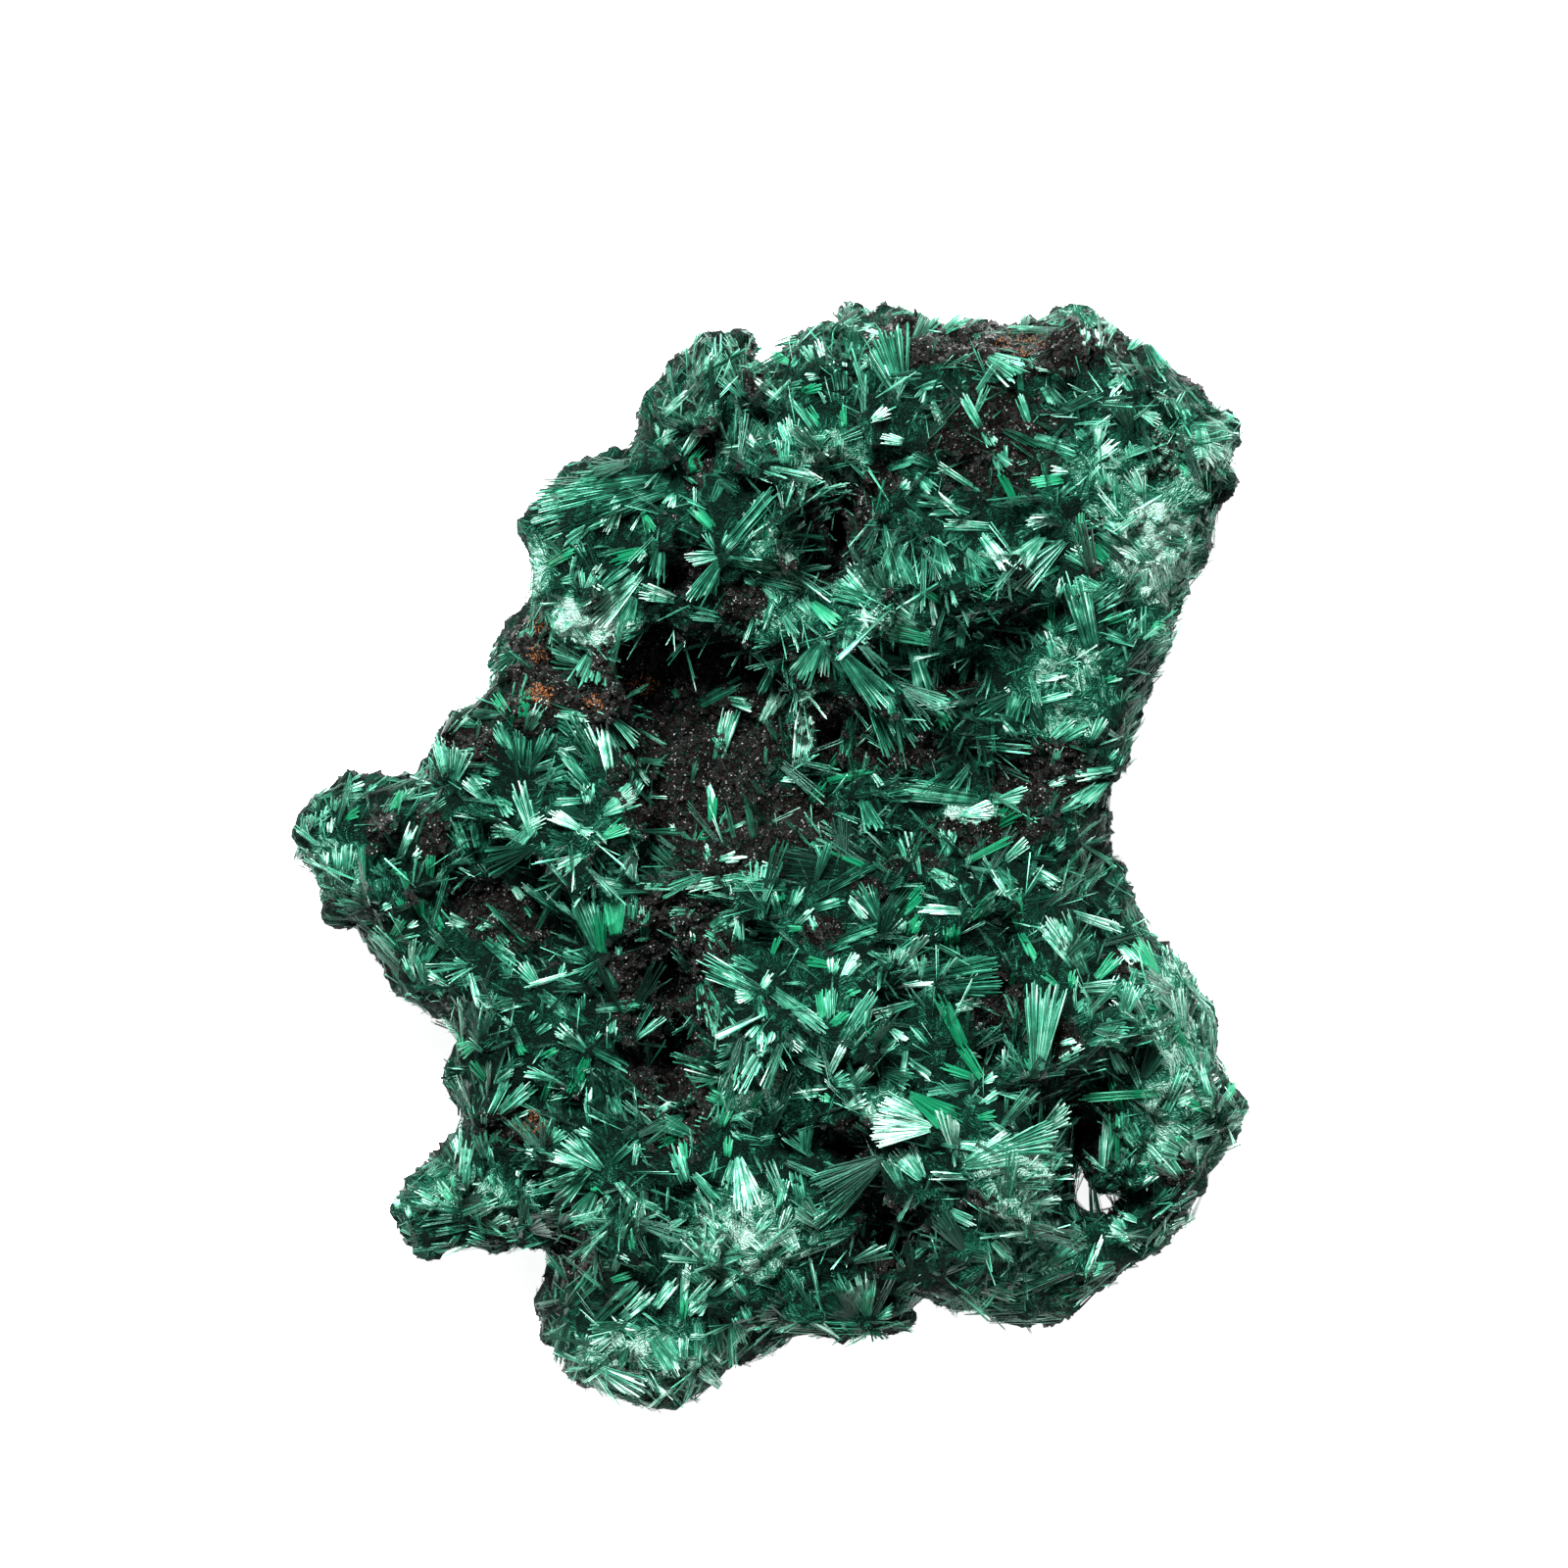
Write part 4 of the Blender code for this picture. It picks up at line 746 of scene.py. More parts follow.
class NodeSketch:
    """A short way to write a node tree down, for materials and geometry alike."""

    def __init__(self, tree: bpy.types.NodeTree) -> None:
        """Starts on an empty tree.

        Args:
            tree: The tree, whose nodes are cleared.
        """
        self.tree = tree
        tree.nodes.clear()

    def add(self, kind: str, settings: dict | None = None, **inputs: object) -> bpy.types.Node:
        """Adds one node.

        Args:
            kind: The node's type name.
            settings: Its properties, such as an operation.
            inputs: Its sockets by name, with _ for a space: a value, or another socket.

        Returns:
            The new node.
        """
        node = self.tree.nodes.new(kind)
        for key, value in (settings or {}).items():
            setattr(node, key, value)
        for key, value in inputs.items():
            self.feed(node, key.replace("_", " "), value)
        return node

    def feed(self, node: bpy.types.Node, name: str, value: object) -> None:
        """Sets or links the first enabled input socket with a name, or with a number.

        Args:
            node: The node that takes the value.
            name: The socket's name, or "in 0" and so on for its place.
            value: A plain value, or an output socket to link.
        """
        if name.startswith("in "):
            socket = node.inputs[int(name[3:])]
        else:
            socket = next(s for s in node.inputs if s.name == name and s.enabled)
        if isinstance(value, bpy.types.NodeSocket):
            self.tree.links.new(value, socket)
        else:
            socket.default_value = value

    def math(self, operation: str, *values: object, clamp: bool = False) -> bpy.types.NodeSocket:
        """Adds a Math node and gives its result.

        Args:
            operation: The Math node's operation.
            values: Its inputs in order, as numbers or sockets.
            clamp: Whether the result stays between 0 and 1.

        Returns:
            The output socket.
        """
        node = self.add("ShaderNodeMath", {"operation": operation, "use_clamp": clamp})
        for place, value in enumerate(values):
            self.feed(node, f"in {place}", value)
        return node.outputs[0]

    def swing(self, source: object, share: object, base: object, middle: float = 0.5,
              clamp: bool = False) -> bpy.types.NodeSocket:
        """Adds a share of how far a number is from its middle.

        Args:
            source: The number.
            share: How much of its swing is added.
            base: What it is added to.
            middle: Its middle.
            clamp: Whether the result stays between 0 and 1.

        Returns:
            The sum.
        """
        offset = self.math("SUBTRACT", source, middle)
        return self.math("MULTIPLY_ADD", offset, share, base, clamp=clamp)

    def vector(self, operation: str, *values: object) -> bpy.types.NodeSocket:
        """Adds a Vector Math node and gives its result.

        Args:
            operation: The node's operation.
            values: Its vectors in order, or for SCALE a vector and a number.

        Returns:
            The output socket that the operation fills.
        """
        node = self.add("ShaderNodeVectorMath", {"operation": operation})
        for place, value in enumerate(values):
            self.feed(node, "Scale" if operation == "SCALE" and place else f"in {place}", value)
        return node.outputs["Value" if operation == "DOT_PRODUCT" else "Vector"]

    def attribute(self, name: str) -> bpy.types.NodeSocket:
        """Reads a stored attribute in a material.

        Args:
            name: The attribute's name.

        Returns:
            Its value.
        """
        return self.add("ShaderNodeAttribute", {"attribute_name": name}).outputs["Fac"]

    def ramp(self, light: bpy.types.NodeSocket, positions: Sequence[float],
             colours: Sequence[Colour], steps: bool = False) -> bpy.types.NodeSocket:
        """Turns a number into a colour.

        Args:
            light: The number, from 0 to 1.
            positions: Where each colour stands, in rising order.
            colours: The colours.
            steps: Whether each colour holds up to the next, with no blend.

        Returns:
            The colour.
        """
        ramp = self.add("ShaderNodeValToRGB", Fac=light)
        ramp.color_ramp.interpolation = "CONSTANT" if steps else "LINEAR"
        stops = ramp.color_ramp.elements
        for end, index in ((0, 0), (1, -1)):
            stops[end].position = positions[index]
            stops[end].color = (*colours[index], 1)
        for position, colour in zip(positions[1:-1], colours[1:-1]):
            stops.new(position).color = (*colour, 1)
        return ramp.outputs["Color"]


@dataclass(frozen=True)
class FibreFinish:
    """Silky fibres: dark where they meet, emerald along, pale at their ragged ends.

    The dark roots are partly painted shade, and the pale ends and the streaks partly painted sheen.

    Args:
        name: The material's name.
        deep: Colour at a fibre's darkest.
        green: Its usual colour.
        bright: Its colour in the light.
        pale: Its colour at the ragged tips, partly painted sheen.
        vivid: Colour that glassy blades lean to.
        roughness: Roughness of the fibres.
        streaks: Streaks across one fibre.
        root_light: Light at the root.
        along_light: Light gained from root to tip, so the root is darker, partly as painted shade.
        streak_light: Swing of the streaks, partly painted sheen, which calm blades have one less
            of.
        fibre_light: Swing from one fibre to the next.
        tone_light: Swing of the spray's tone.
        spray_light: Swing from one spray to the next.
        fleck_light: Swing of the fine flecks.
        glassy_share: How far calm blades lean to the vivid colour.
        shine: Specular level.
        ridge_depth: Depth of the streaks in metres.
    """

    name: str
    deep: Colour
    green: Colour
    bright: Colour
    pale: Colour
    vivid: Colour
    roughness: float = 0.40
    streaks: float = 2.3
    root_light: float = 0.08
    along_light: float = 0.34
    streak_light: float = 1.95
    fibre_light: float = 0.34
    tone_light: float = 0.30
    spray_light: float = 0.36
    fleck_light: float = 0.5
    glassy_share: float = 0.55
    shine: float = 0.55
    ridge_depth: float = 0.00012

    # Where the four colours stand on the scale of light.
    STOPS = (0.02, 0.36, 0.67, 0.98)
    FLECKS_PER_METRE = 900.0
    STREAKS_ALONG = 1.3
    # Sets the streaks of one spray apart from the next one's.
    CHANCE_SPREAD = 57.0
    MEAN_CHANCE = 0.4
    SHINE_TINT = (0.45, 1.0, 0.80, 1)

    def light(self, sketch: NodeSketch, calm: bpy.types.NodeSocket) -> tuple[
            bpy.types.NodeSocket, bpy.types.NodeSocket]:
        """How light each spot of a fibre is, from 0 to 1.

        Args:
            sketch: The tree being written.
            calm: 1 on glassy blades.

        Returns:
            The light, and the streaks' height.
        """
        place = sketch.add("ShaderNodeUVMap", {"uv_map": "fibre"})
        split = sketch.add("ShaderNodeSeparateXYZ", Vector=place.outputs[0])
        across, along = split.outputs[0], split.outputs[1]
        tone = sketch.attribute("tone")
        chance = sketch.attribute("chance")
        streak_place = sketch.add(
            "ShaderNodeCombineXYZ",
            X=sketch.math("MULTIPLY", across, self.streaks),
            Y=sketch.math("MULTIPLY", along, self.STREAKS_ALONG),
            Z=sketch.math("MULTIPLY", chance, self.CHANCE_SPREAD),
        )
        streak = sketch.add(
            "ShaderNodeTexNoise",
            Vector=streak_place.outputs[0], Scale=1.0, Detail=3.0, Roughness=0.7,
        ).outputs["Fac"]
        fleck = sketch.add(
            "ShaderNodeTexNoise",
            Vector=sketch.add("ShaderNodeTexCoord").outputs["Object"],
            Scale=self.FLECKS_PER_METRE, Detail=2.0,
        ).outputs["Fac"]
        fibre = sketch.add("ShaderNodeCombineXYZ", X=sketch.math("FLOOR", across), Y=chance)
        lone = sketch.add(
            "ShaderNodeTexWhiteNoise", {"noise_dimensions": "2D"}, Vector=fibre.outputs[0]
        ).outputs[0]
        # Painted light: darker at the root, partly painted shade, and streaks that are partly
        # painted sheen.
        swing = sketch.math("MULTIPLY_ADD", calm, -1.0, self.streak_light)
        shade = sketch.math("MULTIPLY_ADD", along, self.along_light, self.root_light)
        for source, middle, share in (
                (streak, 0.5, swing), (lone, 0.5, self.fibre_light),
                (tone, 0.0, self.tone_light), (chance, self.MEAN_CHANCE, self.spray_light),
                (fleck, 0.5, self.fleck_light)):
            shade = sketch.swing(source, share, shade, middle)
        return sketch.math("ADD", shade, 0.0, clamp=True), streak

    def material(self) -> bpy.types.Material:
        """Builds the fibre material, on the piece's own map and attributes.

        Returns:
            The material.
        """
        material = bpy.data.materials.new(self.name)
        material.use_nodes = True
        sketch = NodeSketch(material.node_tree)
        calm = sketch.attribute("calm")
        light, streak = self.light(sketch, calm)
        ramp = sketch.ramp(light, self.STOPS, (self.deep, self.green, self.bright, self.pale))
        blend = sketch.add(
            "ShaderNodeMix", {"data_type": "RGBA"},
            Factor=sketch.math("MULTIPLY", calm, self.glassy_share), A=ramp, B=(*self.vivid, 1),
        )
        ridge = sketch.add(
            "ShaderNodeBump", Strength=0.7, Distance=self.ridge_depth, Height=streak
        )
        shader = sketch.add(
            "ShaderNodeBsdfPrincipled",
            Base_Color=blend.outputs["Result"],
            Roughness=self.roughness,
            Specular_IOR_Level=self.shine,
            Specular_Tint=self.SHINE_TINT,
            Normal=ridge.outputs[0],
        )
        sketch.add("ShaderNodeOutputMaterial", Surface=shader.outputs[0])
        return material


@dataclass(frozen=True)
class CrustFinish:
    """The skin under the sprays: felted fibres, black sparkling matrix, rust and dust.

    The dark between the felted fibres is painted shade in the gaps, the matrix's sparkle is a
    painted glint, and the pale dust carries painted sheen.

    Args:
        name: The material's name.
        deep: Colour between the felted fibres, painted shade in the gaps.
        green: Their usual colour.
        bright: Their colour in the light.
        dust: Colour of the pale dusty felt, and of the painted sheen on it.
        black: Colour of most matrix grains.
        brown: Colour of some grains.
        slate: Colour of fewer grains.
        glint: Colour of the few that sparkle, a painted glint.
        rust: Colour of rusty grains.
        roughness: Roughness of what doesn't sparkle.
        shine: Specular level.
        cell: Size of a cell of felt in millimetres.
        relief: Depth of the relief in metres.
    """

    name: str
    deep: Colour
    green: Colour
    bright: Colour
    dust: Colour
    black: Colour
    brown: Colour
    slate: Colour
    glint: Colour
    rust: Colour
    roughness: float = 0.7
    shine: float = 0.05
    cell: float = 1.5
    relief: float = 0.0005

    # Where the colours stand on the scale of light, and on the scale of the grains' lots.
    FELT_STOPS = (0.05, 0.4, 0.7, 1.0)
    GRAIN_STOPS = (0.0, 0.60, 0.80, 0.92, 0.97)
    # Sizes of the textures, and how the fibres of one cell turn from the next one's.
    GRAINS_PER_MM = 6.5
    MOTTLE_PER_MM = 0.8
    STREAKS_ACROSS = 8.0
    STREAKS_ALONG = 0.9
    CELL_SPREAD = 83.0
    MOST_TURN = 1.3
    # How light and height come together from streaks, cells and mottle.
    MEAN_LIGHT = 0.22
    STREAK_LIGHT = 2.6
    CELL_LIGHT = 0.5
    CELL_SLOPE = 1.6
    FELT_HEIGHT = 0.5
    MOTTLE_HEIGHT = 2.0
    # Where a lot is rusty or glints, and where matrix takes over from felt.
    MATRIX_MOTTLE = 1.8
    RUST_FROM = 0.64
    GLINT_FROM = 0.9
    GLINT_POLISH = -0.3
    MATRIX_FROM = 0.35
    MATRIX_EDGE = 9.0
    # Light gained from each painted field: painted sheen along with pale felt and dust, and painted
    # shade along with darker tone.
    PAINTED_LIGHT = {"pale": 0.75, "dark": -0.3, "dust": 0.35}

    def felt(self, sketch: NodeSketch, place: bpy.types.NodeSocket) -> tuple[
            bpy.types.NodeSocket, bpy.types.NodeSocket]:
        """Short fibres that lie one way in each small cell of the skin.

        Args:
            sketch: The tree being written.
            place: Object coordinates in millimetres.

        Returns:
            How light each spot is, and its height.
        """
        cells = sketch.add("ShaderNodeTexVoronoi", Vector=place, Scale=1.0 / self.cell)
        offset = sketch.vector("SUBTRACT", place, cells.outputs["Position"])
        lots = sketch.add("ShaderNodeSeparateColor", Color=cells.outputs["Color"]).outputs
        heading = sketch.add("ShaderNodeAttribute", {"attribute_name": "heading"}).outputs["Vector"]
        turned = sketch.add(
            "ShaderNodeVectorRotate", {"rotation_type": "Z_AXIS"}, Vector=heading,
            Angle=sketch.math("MULTIPLY_ADD", lots[0], 2 * self.MOST_TURN, -self.MOST_TURN),
        ).outputs[0]
        side = sketch.vector("CROSS_PRODUCT", turned, (0.0, 0.0, 1.0))
        across = sketch.vector("DOT_PRODUCT", offset, side)
        along = sketch.vector("DOT_PRODUCT", offset, turned)
        streak_place = sketch.add(
            "ShaderNodeCombineXYZ",
            X=sketch.math("MULTIPLY", across, self.STREAKS_ACROSS),
            Y=sketch.math("MULTIPLY", along, self.STREAKS_ALONG),
            Z=sketch.math("MULTIPLY", lots[1], self.CELL_SPREAD),
        ).outputs[0]
        streak = sketch.add(
            "ShaderNodeTexNoise", Vector=streak_place, Scale=1.0, Detail=3.0, Roughness=0.75
        ).outputs["Fac"]
        light = sketch.swing(streak, self.STREAK_LIGHT, self.MEAN_LIGHT)
        light = sketch.swing(lots[2], self.CELL_LIGHT, light)
        slope = sketch.vector("DOT_PRODUCT", offset, sketch.vector(
            "SUBTRACT", cells.outputs["Color"], (0.5, 0.5, 0.5)))
        return light, sketch.math("MULTIPLY_ADD", slope, self.CELL_SLOPE, streak)

    def matrix(self, sketch: NodeSketch, grains: bpy.types.Node) -> tuple[
            bpy.types.NodeSocket, bpy.types.NodeSocket]:
        """The grains of dark matrix, with rust where it is painted.

        Args:
            sketch: The tree being written.
            grains: The texture with one cell per grain.

        Returns:
            The colour, and the grain's own number from 0 to 1.
        """
        lots = sketch.add("ShaderNodeSeparateColor", Color=grains.outputs["Color"]).outputs
        lot = sketch.math("FRACT", sketch.math("ADD", lots[0], sketch.attribute("chance")))
        # The last band of grains is a painted glint.
        dark = sketch.ramp(
            lot, self.GRAIN_STOPS, (self.black, self.brown, self.slate, self.green, self.glint),
            steps=True,
        )
        rust = sketch.math("MULTIPLY", sketch.attribute("rust"), lots[1])
        rusty = sketch.add(
            "ShaderNodeMix", {"data_type": "RGBA"},
            Factor=sketch.math("GREATER_THAN", rust, self.RUST_FROM), A=dark, B=(*self.rust, 1),
        )
        return rusty.outputs["Result"], lot

    def material(self) -> bpy.types.Material:
        """Builds the crust material from Object coordinates and painted attributes.

        Returns:
            The material.
        """
        material = bpy.data.materials.new(self.name)
        material.use_nodes = True
        sketch = NodeSketch(material.node_tree)
        place = sketch.vector(
            "SCALE", sketch.add("ShaderNodeTexCoord").outputs["Object"], 1 / MILLIMETRE)
        mottle = sketch.add(
            "ShaderNodeTexNoise",
            Vector=place, Scale=self.MOTTLE_PER_MM, Detail=5.0, Roughness=0.75,
        ).outputs["Fac"]
        grains = sketch.add("ShaderNodeTexVoronoi", Vector=place, Scale=self.GRAINS_PER_MM)
        light, height = self.felt(sketch, place)
        # The pale and dust fields add painted sheen with the pale felt, the dark field painted
        # shade; the deep colour at low light is painted shade between the fibres.
        for name, share in self.PAINTED_LIGHT.items():
            light = sketch.math("MULTIPLY_ADD", sketch.attribute(name), share, light)
        felt = sketch.ramp(
            sketch.math("ADD", light, 0.0, clamp=True), self.FELT_STOPS,
            (self.deep, self.green, self.bright, self.dust),
        )
        matrix, lot = self.matrix(sketch, grains)
        edge = sketch.swing(mottle, self.MATRIX_MOTTLE, sketch.attribute("matrix"))
        edge = sketch.swing(edge, self.MATRIX_EDGE, 0.5, self.MATRIX_FROM, clamp=True)
        colour = sketch.add(
            "ShaderNodeMix", {"data_type": "RGBA"}, Factor=edge, A=felt, B=matrix,
        )
        glint = sketch.math("GREATER_THAN", lot, self.GLINT_FROM)
        relief = sketch.math(
            "MULTIPLY_ADD", height, self.FELT_HEIGHT, grains.outputs["Distance"])
        bump = sketch.add(
            "ShaderNodeBump", Strength=1.0, Distance=self.relief,
            Height=sketch.math("MULTIPLY_ADD", mottle, self.MOTTLE_HEIGHT, relief),
        )
        shader = sketch.add(
            "ShaderNodeBsdfPrincipled",
            Base_Color=colour.outputs["Result"],
            Roughness=sketch.math("MULTIPLY_ADD", glint, self.GLINT_POLISH, self.roughness),
            Specular_IOR_Level=self.shine,
            Normal=bump.outputs[0],
        )
        sketch.add("ShaderNodeOutputMaterial", Surface=shader.outputs[0])
        return material


SILK_FIBRE = FibreFinish(
    "malachite_silk", (0.0010, 0.008, 0.005), (0.004, 0.068, 0.036),
    (0.055, 0.310, 0.200), (0.66, 0.90, 0.81), (0.003, 0.21, 0.085),
)
NEEDLE_FIBRE = FibreFinish(
    "malachite_needles", (0.004, 0.08, 0.045), (0.03, 0.26, 0.15),
    (0.16, 0.52, 0.38), (0.56, 0.84, 0.74), (0.004, 0.27, 0.105),
)
CRUST = CrustFinish(
    "malachite_crust", (0.0008, 0.007, 0.0045), (0.002, 0.044, 0.025), (0.025, 0.19, 0.115),
    (0.42, 0.66, 0.56), (0.0008, 0.0010, 0.0009), (0.012, 0.0058, 0.0036),
    (0.010, 0.012, 0.011), (0.14, 0.16, 0.15), (0.30, 0.11, 0.035),
)
# The grit shines, and its glint colour is a painted glint as well.
GRIT = replace(
    CRUST, name="matrix_grit", brown=(0.014, 0.0058, 0.0036), slate=(0.010, 0.013, 0.012),
    glint=(0.32, 0.35, 0.34), roughness=0.44, shine=0.34,
)


@dataclass
class ClusterBody:
    """The rough body that the sprays grow on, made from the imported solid's own shape.

    Args:
        voxel: Size of the skin's mesh.
        soften: Rounds of smoothing that turn the solid's flat facets into rock.
        lump_wave: Size of the coarse lumps.
        lump_height: How high they stand.
        grain_wave: Size of the fine lumps.
        grain_height: How high they stand.
        floor_margin: Height above the floor that a dip leaves alone.
    """

    voxel: float = 0.7
    soften: int = 3
    lump_wave: float = 2.4
    lump_height: float = 0.9
    grain_wave: float = 1.1
    grain_height: float = 0.42
    floor_margin: float = 3.0
    thing: bpy.types.Object = field(init=False)
    tree: BVHTree = field(init=False)

    # The first remesh's voxel as a share of the skin's.
    JOIN_VOXEL = 0.9
    # Roughness, spacing and octaves of the coarse lumps, which fade out at the floor.
    LUMP_NOISE = (0.8, 2.1, 3)
    GRAIN_OFFSET = Vector((9, 4, 7))
    LUMP_FADE = Ramp(0.5)
    # How dips take hold by the normal's height, and how deep they go by the room below.
    DIP_SIDE = Ramp(2.5)
    DIP_ROOM = Ramp(0.75, most=math.inf)
    # By the normal's height: 1 on what the photograph shows, and 1 only on the very top.
    FACING = Ramp(2.0, 0.6)
    TOP = Ramp(2.0)
    # How the painted fields change one another.
    PALE_CLEARS = Ramp(1.8, -0.7)
    PALE_DUST_AND_SHEEN = Ramp(3.0, -2.0)
    WANDER_SIZE = 9.0
    WANDER_MATRIX = Ramp(1.6, most=0.8)
    WANDER_RUST = 0.5
    TOP_DARK = 0.3
    # How densely sprays grow: less on matrix, on sides and under placed sprays.
    MATRIX_GROWTH = Ramp(-1.15, 1.0, 0.02)
    UNDER_GROWTH = 0.9
    SIDE_GROWTH = Ramp(1.2, least=0.35)
    COVERED_BARE = 0.92
    TOP_BARE = 0.5

    def build(self) -> None:
        """Makes the skin, roughens it, paints its fields and keeps a tree for ray casts."""
        self.thing = linked_object("malachite_body", self.merged_solid())
        self.remesh_skin()
        self.hollow()
        self.roughen()
        self.paint()
        skin = bmesh.new()
        skin.from_mesh(self.thing.data)
        self.tree = BVHTree.FromBMesh(skin)
        skin.free()

    def merged_solid(self) -> bpy.types.Mesh:
        """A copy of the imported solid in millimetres, with its loose triangles joined.

        Returns:
            A new mesh.
        """
        shape = bmesh.new()
        shape.from_mesh(frame["nodes"][BODY_NODE].data)
        bmesh.ops.remove_doubles(shape, verts=shape.verts, dist=JOIN_DISTANCE)
        bmesh.ops.transform(shape, matrix=Matrix.Scale(1 / MILLIMETRE, 4), verts=shape.verts)
        for lump in LUMPS:
            add_ellipsoid(shape, lump)
        mesh = bpy.data.meshes.new("malachite_body")
        shape.to_mesh(mesh)
        shape.free()
        return mesh

    def remesh_skin(self) -> None:
        """Gives the body one even, softened skin, with the small holes right through it."""
        even_skin(self.thing, "join", self.voxel * self.JOIN_VOXEL)
        shape = bmesh.new()
        for hole in HOLES:
            add_ellipsoid(shape, hole)
        mesh = bpy.data.meshes.new("holes")
        shape.to_mesh(mesh)
        shape.free()
        holes = linked_object("holes", mesh)
        even_skin(holes, "whole", self.voxel / 2)
        pierce = self.thing.modifiers.new("pierce", "BOOLEAN")
        pierce.operation = "DIFFERENCE"
        pierce.solver = "MANIFOLD"
        pierce.object = holes
        even_skin(self.thing, "skin", self.voxel)
        smooth = self.thing.modifiers.new("soften", "SMOOTH")
        smooth.iterations = self.soften
        mesh = evaluated_mesh(self.thing)
        self.thing.modifiers.clear()
        self.thing.data = mesh
        bpy.data.objects.remove(holes)

    def hollow(self) -> None:
        """Deepens the pits and slots that the photograph shows as black."""
        mesh = self.thing.data
        places = vertex_places(mesh)
        upper = self.DIP_SIDE.of(vertex_normals(mesh)[:, 2])
        for dip in DIPS:
            depth = dip.strength * patch_weight(places, (replace(dip, strength=1.0),))
            room = self.DIP_ROOM.of(places[:, 2] - self.floor_margin)
            places[:, 2] -= np.minimum(depth * upper, room)
        mesh.vertices.foreach_set("co", places.ravel())
        mesh.update()

    def roughen(self) -> None:
        """Raises coarse and fine lumps on the skin, but keeps its resting facets flat."""
        mesh = self.thing.data
        places = vertex_places(mesh)
        normals = vertex_normals(mesh)
        heights = np.empty(len(places))
        for index, place in enumerate(places):
            point = Vector(place)
            coarse = noise.fractal(point / self.lump_wave, *self.LUMP_NOISE)
            fine = noise.noise(point / self.grain_wave + self.GRAIN_OFFSET)
            heights[index] = self.lump_height * coarse + self.grain_height * fine
        fade = self.LUMP_FADE.of(places[:, 2])
        places = places + normals * (heights * fade)[:, None]
        places[:, 2] = np.maximum(places[:, 2], 0.0)
        mesh.vertices.foreach_set("co", places.astype(np.float32).ravel())
        mesh.update()

    def paint(self) -> None:
        """Paints where the matrix, rust and pale felt lie, with painted sheen and painted shade,
        and which way the sprays grow.
        """
        mesh = self.thing.data
        places = vertex_places(mesh)
        normals = vertex_normals(mesh)
        facing = self.FACING.of(normals[:, 2])
        top = self.TOP.of(normals[:, 2])
        painted = {
            kind: patch_weight(places, patches) * facing for kind, patches in PATCHES.items()}
        painted[Field.MATRIX] *= 1 - self.PALE_CLEARS.of(painted[Field.PALE])
        wander = scattered_field(places, self.WANDER_SIZE, 3) * (1 - facing)
        for kind, spots in (
                (Field.MATRIX, self.WANDER_MATRIX.of(wander)),
                (Field.RUST, self.WANDER_RUST * wander), (Field.SHADE_AND_DARK, self.TOP_DARK * top)):
            painted[kind] = np.maximum(painted[kind], spots)
        bare = painted.pop(Field.BARE)
        covered = spray_cover(places) * top
        grow = self.MATRIX_GROWTH.of(painted[Field.MATRIX])
        grow *= self.SIDE_GROWTH.of(normals[:, 2] + self.UNDER_GROWTH)
        grow *= (1 - self.COVERED_BARE * covered) * (1 - bare) * (1 - self.TOP_BARE * top)
        heading, pull = flow_field(places)
        for kind, values in painted.items():
            store_field(mesh, kind.value, values)
        # Dust where the pale field is strongest: pale dusty felt, with painted sheen.
        store_field(mesh, "dust", self.PALE_DUST_AND_SHEEN.of(painted[Field.PALE]))
        store_field(mesh, "grow", grow)
        store_field(mesh, "pull", pull)
        attribute = mesh.attributes.new("heading", "FLOAT_VECTOR", "POINT")
        attribute.data.foreach_set("vector", heading.astype(np.float32).ravel())

    def dress(self) -> None:
        """Gives the body its crust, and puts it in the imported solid's place."""
        self.thing.data.materials.clear()
        self.thing.data.materials.append(CRUST.material())
        self.thing.data.shade_smooth()
        hand_over(self.thing, BODY_NODE)


def add_ellipsoid(shape: bmesh.types.BMesh, lump: Lump) -> None:
    """Adds a closed ellipsoid to a shape.

    Args:
        shape: The shape that takes it.
        lump: Its place and its half sizes.
    """
    x, y = skin_point(lump.x, lump.y)
    size = Matrix.Diagonal((lump.wide, lump.high, lump.deep, 1))
    place = Matrix.Translation((x, y, lump.z))
    bmesh.ops.create_icosphere(shape, subdivisions=2, radius=1.0, matrix=place @ size)


def store_field(mesh: bpy.types.Mesh, name: str, values: np.ndarray) -> None:
    """Keeps one number per vertex under a name.

    Args:
        mesh: The mesh that takes it.
        name: The attribute's name.
        values: One value per vertex.
    """
    attribute = mesh.attributes.new(name, "FLOAT", "POINT")
    attribute.data.foreach_set("value", np.asarray(values, np.float32))


# A patch's weight by the distance from its centre, where 1 is its drawn edge.
PATCH_EDGE = Ramp(-1.3, 1.9)


def patch_weight(places: np.ndarray, patches: Iterable[Patch]) -> np.ndarray:
    """How strongly a set of patches covers each point.

    Args:
        places: Points in millimetres.
        patches: The patches.

    Returns:
        One weight from 0 to 1 per point.
    """
    weight = np.zeros(len(places))
    for patch in patches:
        x, y = skin_point(patch.x, patch.y)
        turn = math.radians(patch.turn)
        right = (places[:, 0] - x) * math.cos(turn) + (places[:, 1] - y) * math.sin(turn)
        up = (places[:, 1] - y) * math.cos(turn) - (places[:, 0] - x) * math.sin(turn)
        distance = np.hypot(right / (patch.wide * PIXEL), up / (patch.high * PIXEL))
        weight = np.maximum(weight, patch.strength * PATCH_EDGE.of(distance))
    return weight


# Lifts the noise, whose middle is 0, into the range from 0 to 1.
WANDER_LEVEL = Ramp(1.0, 0.35)


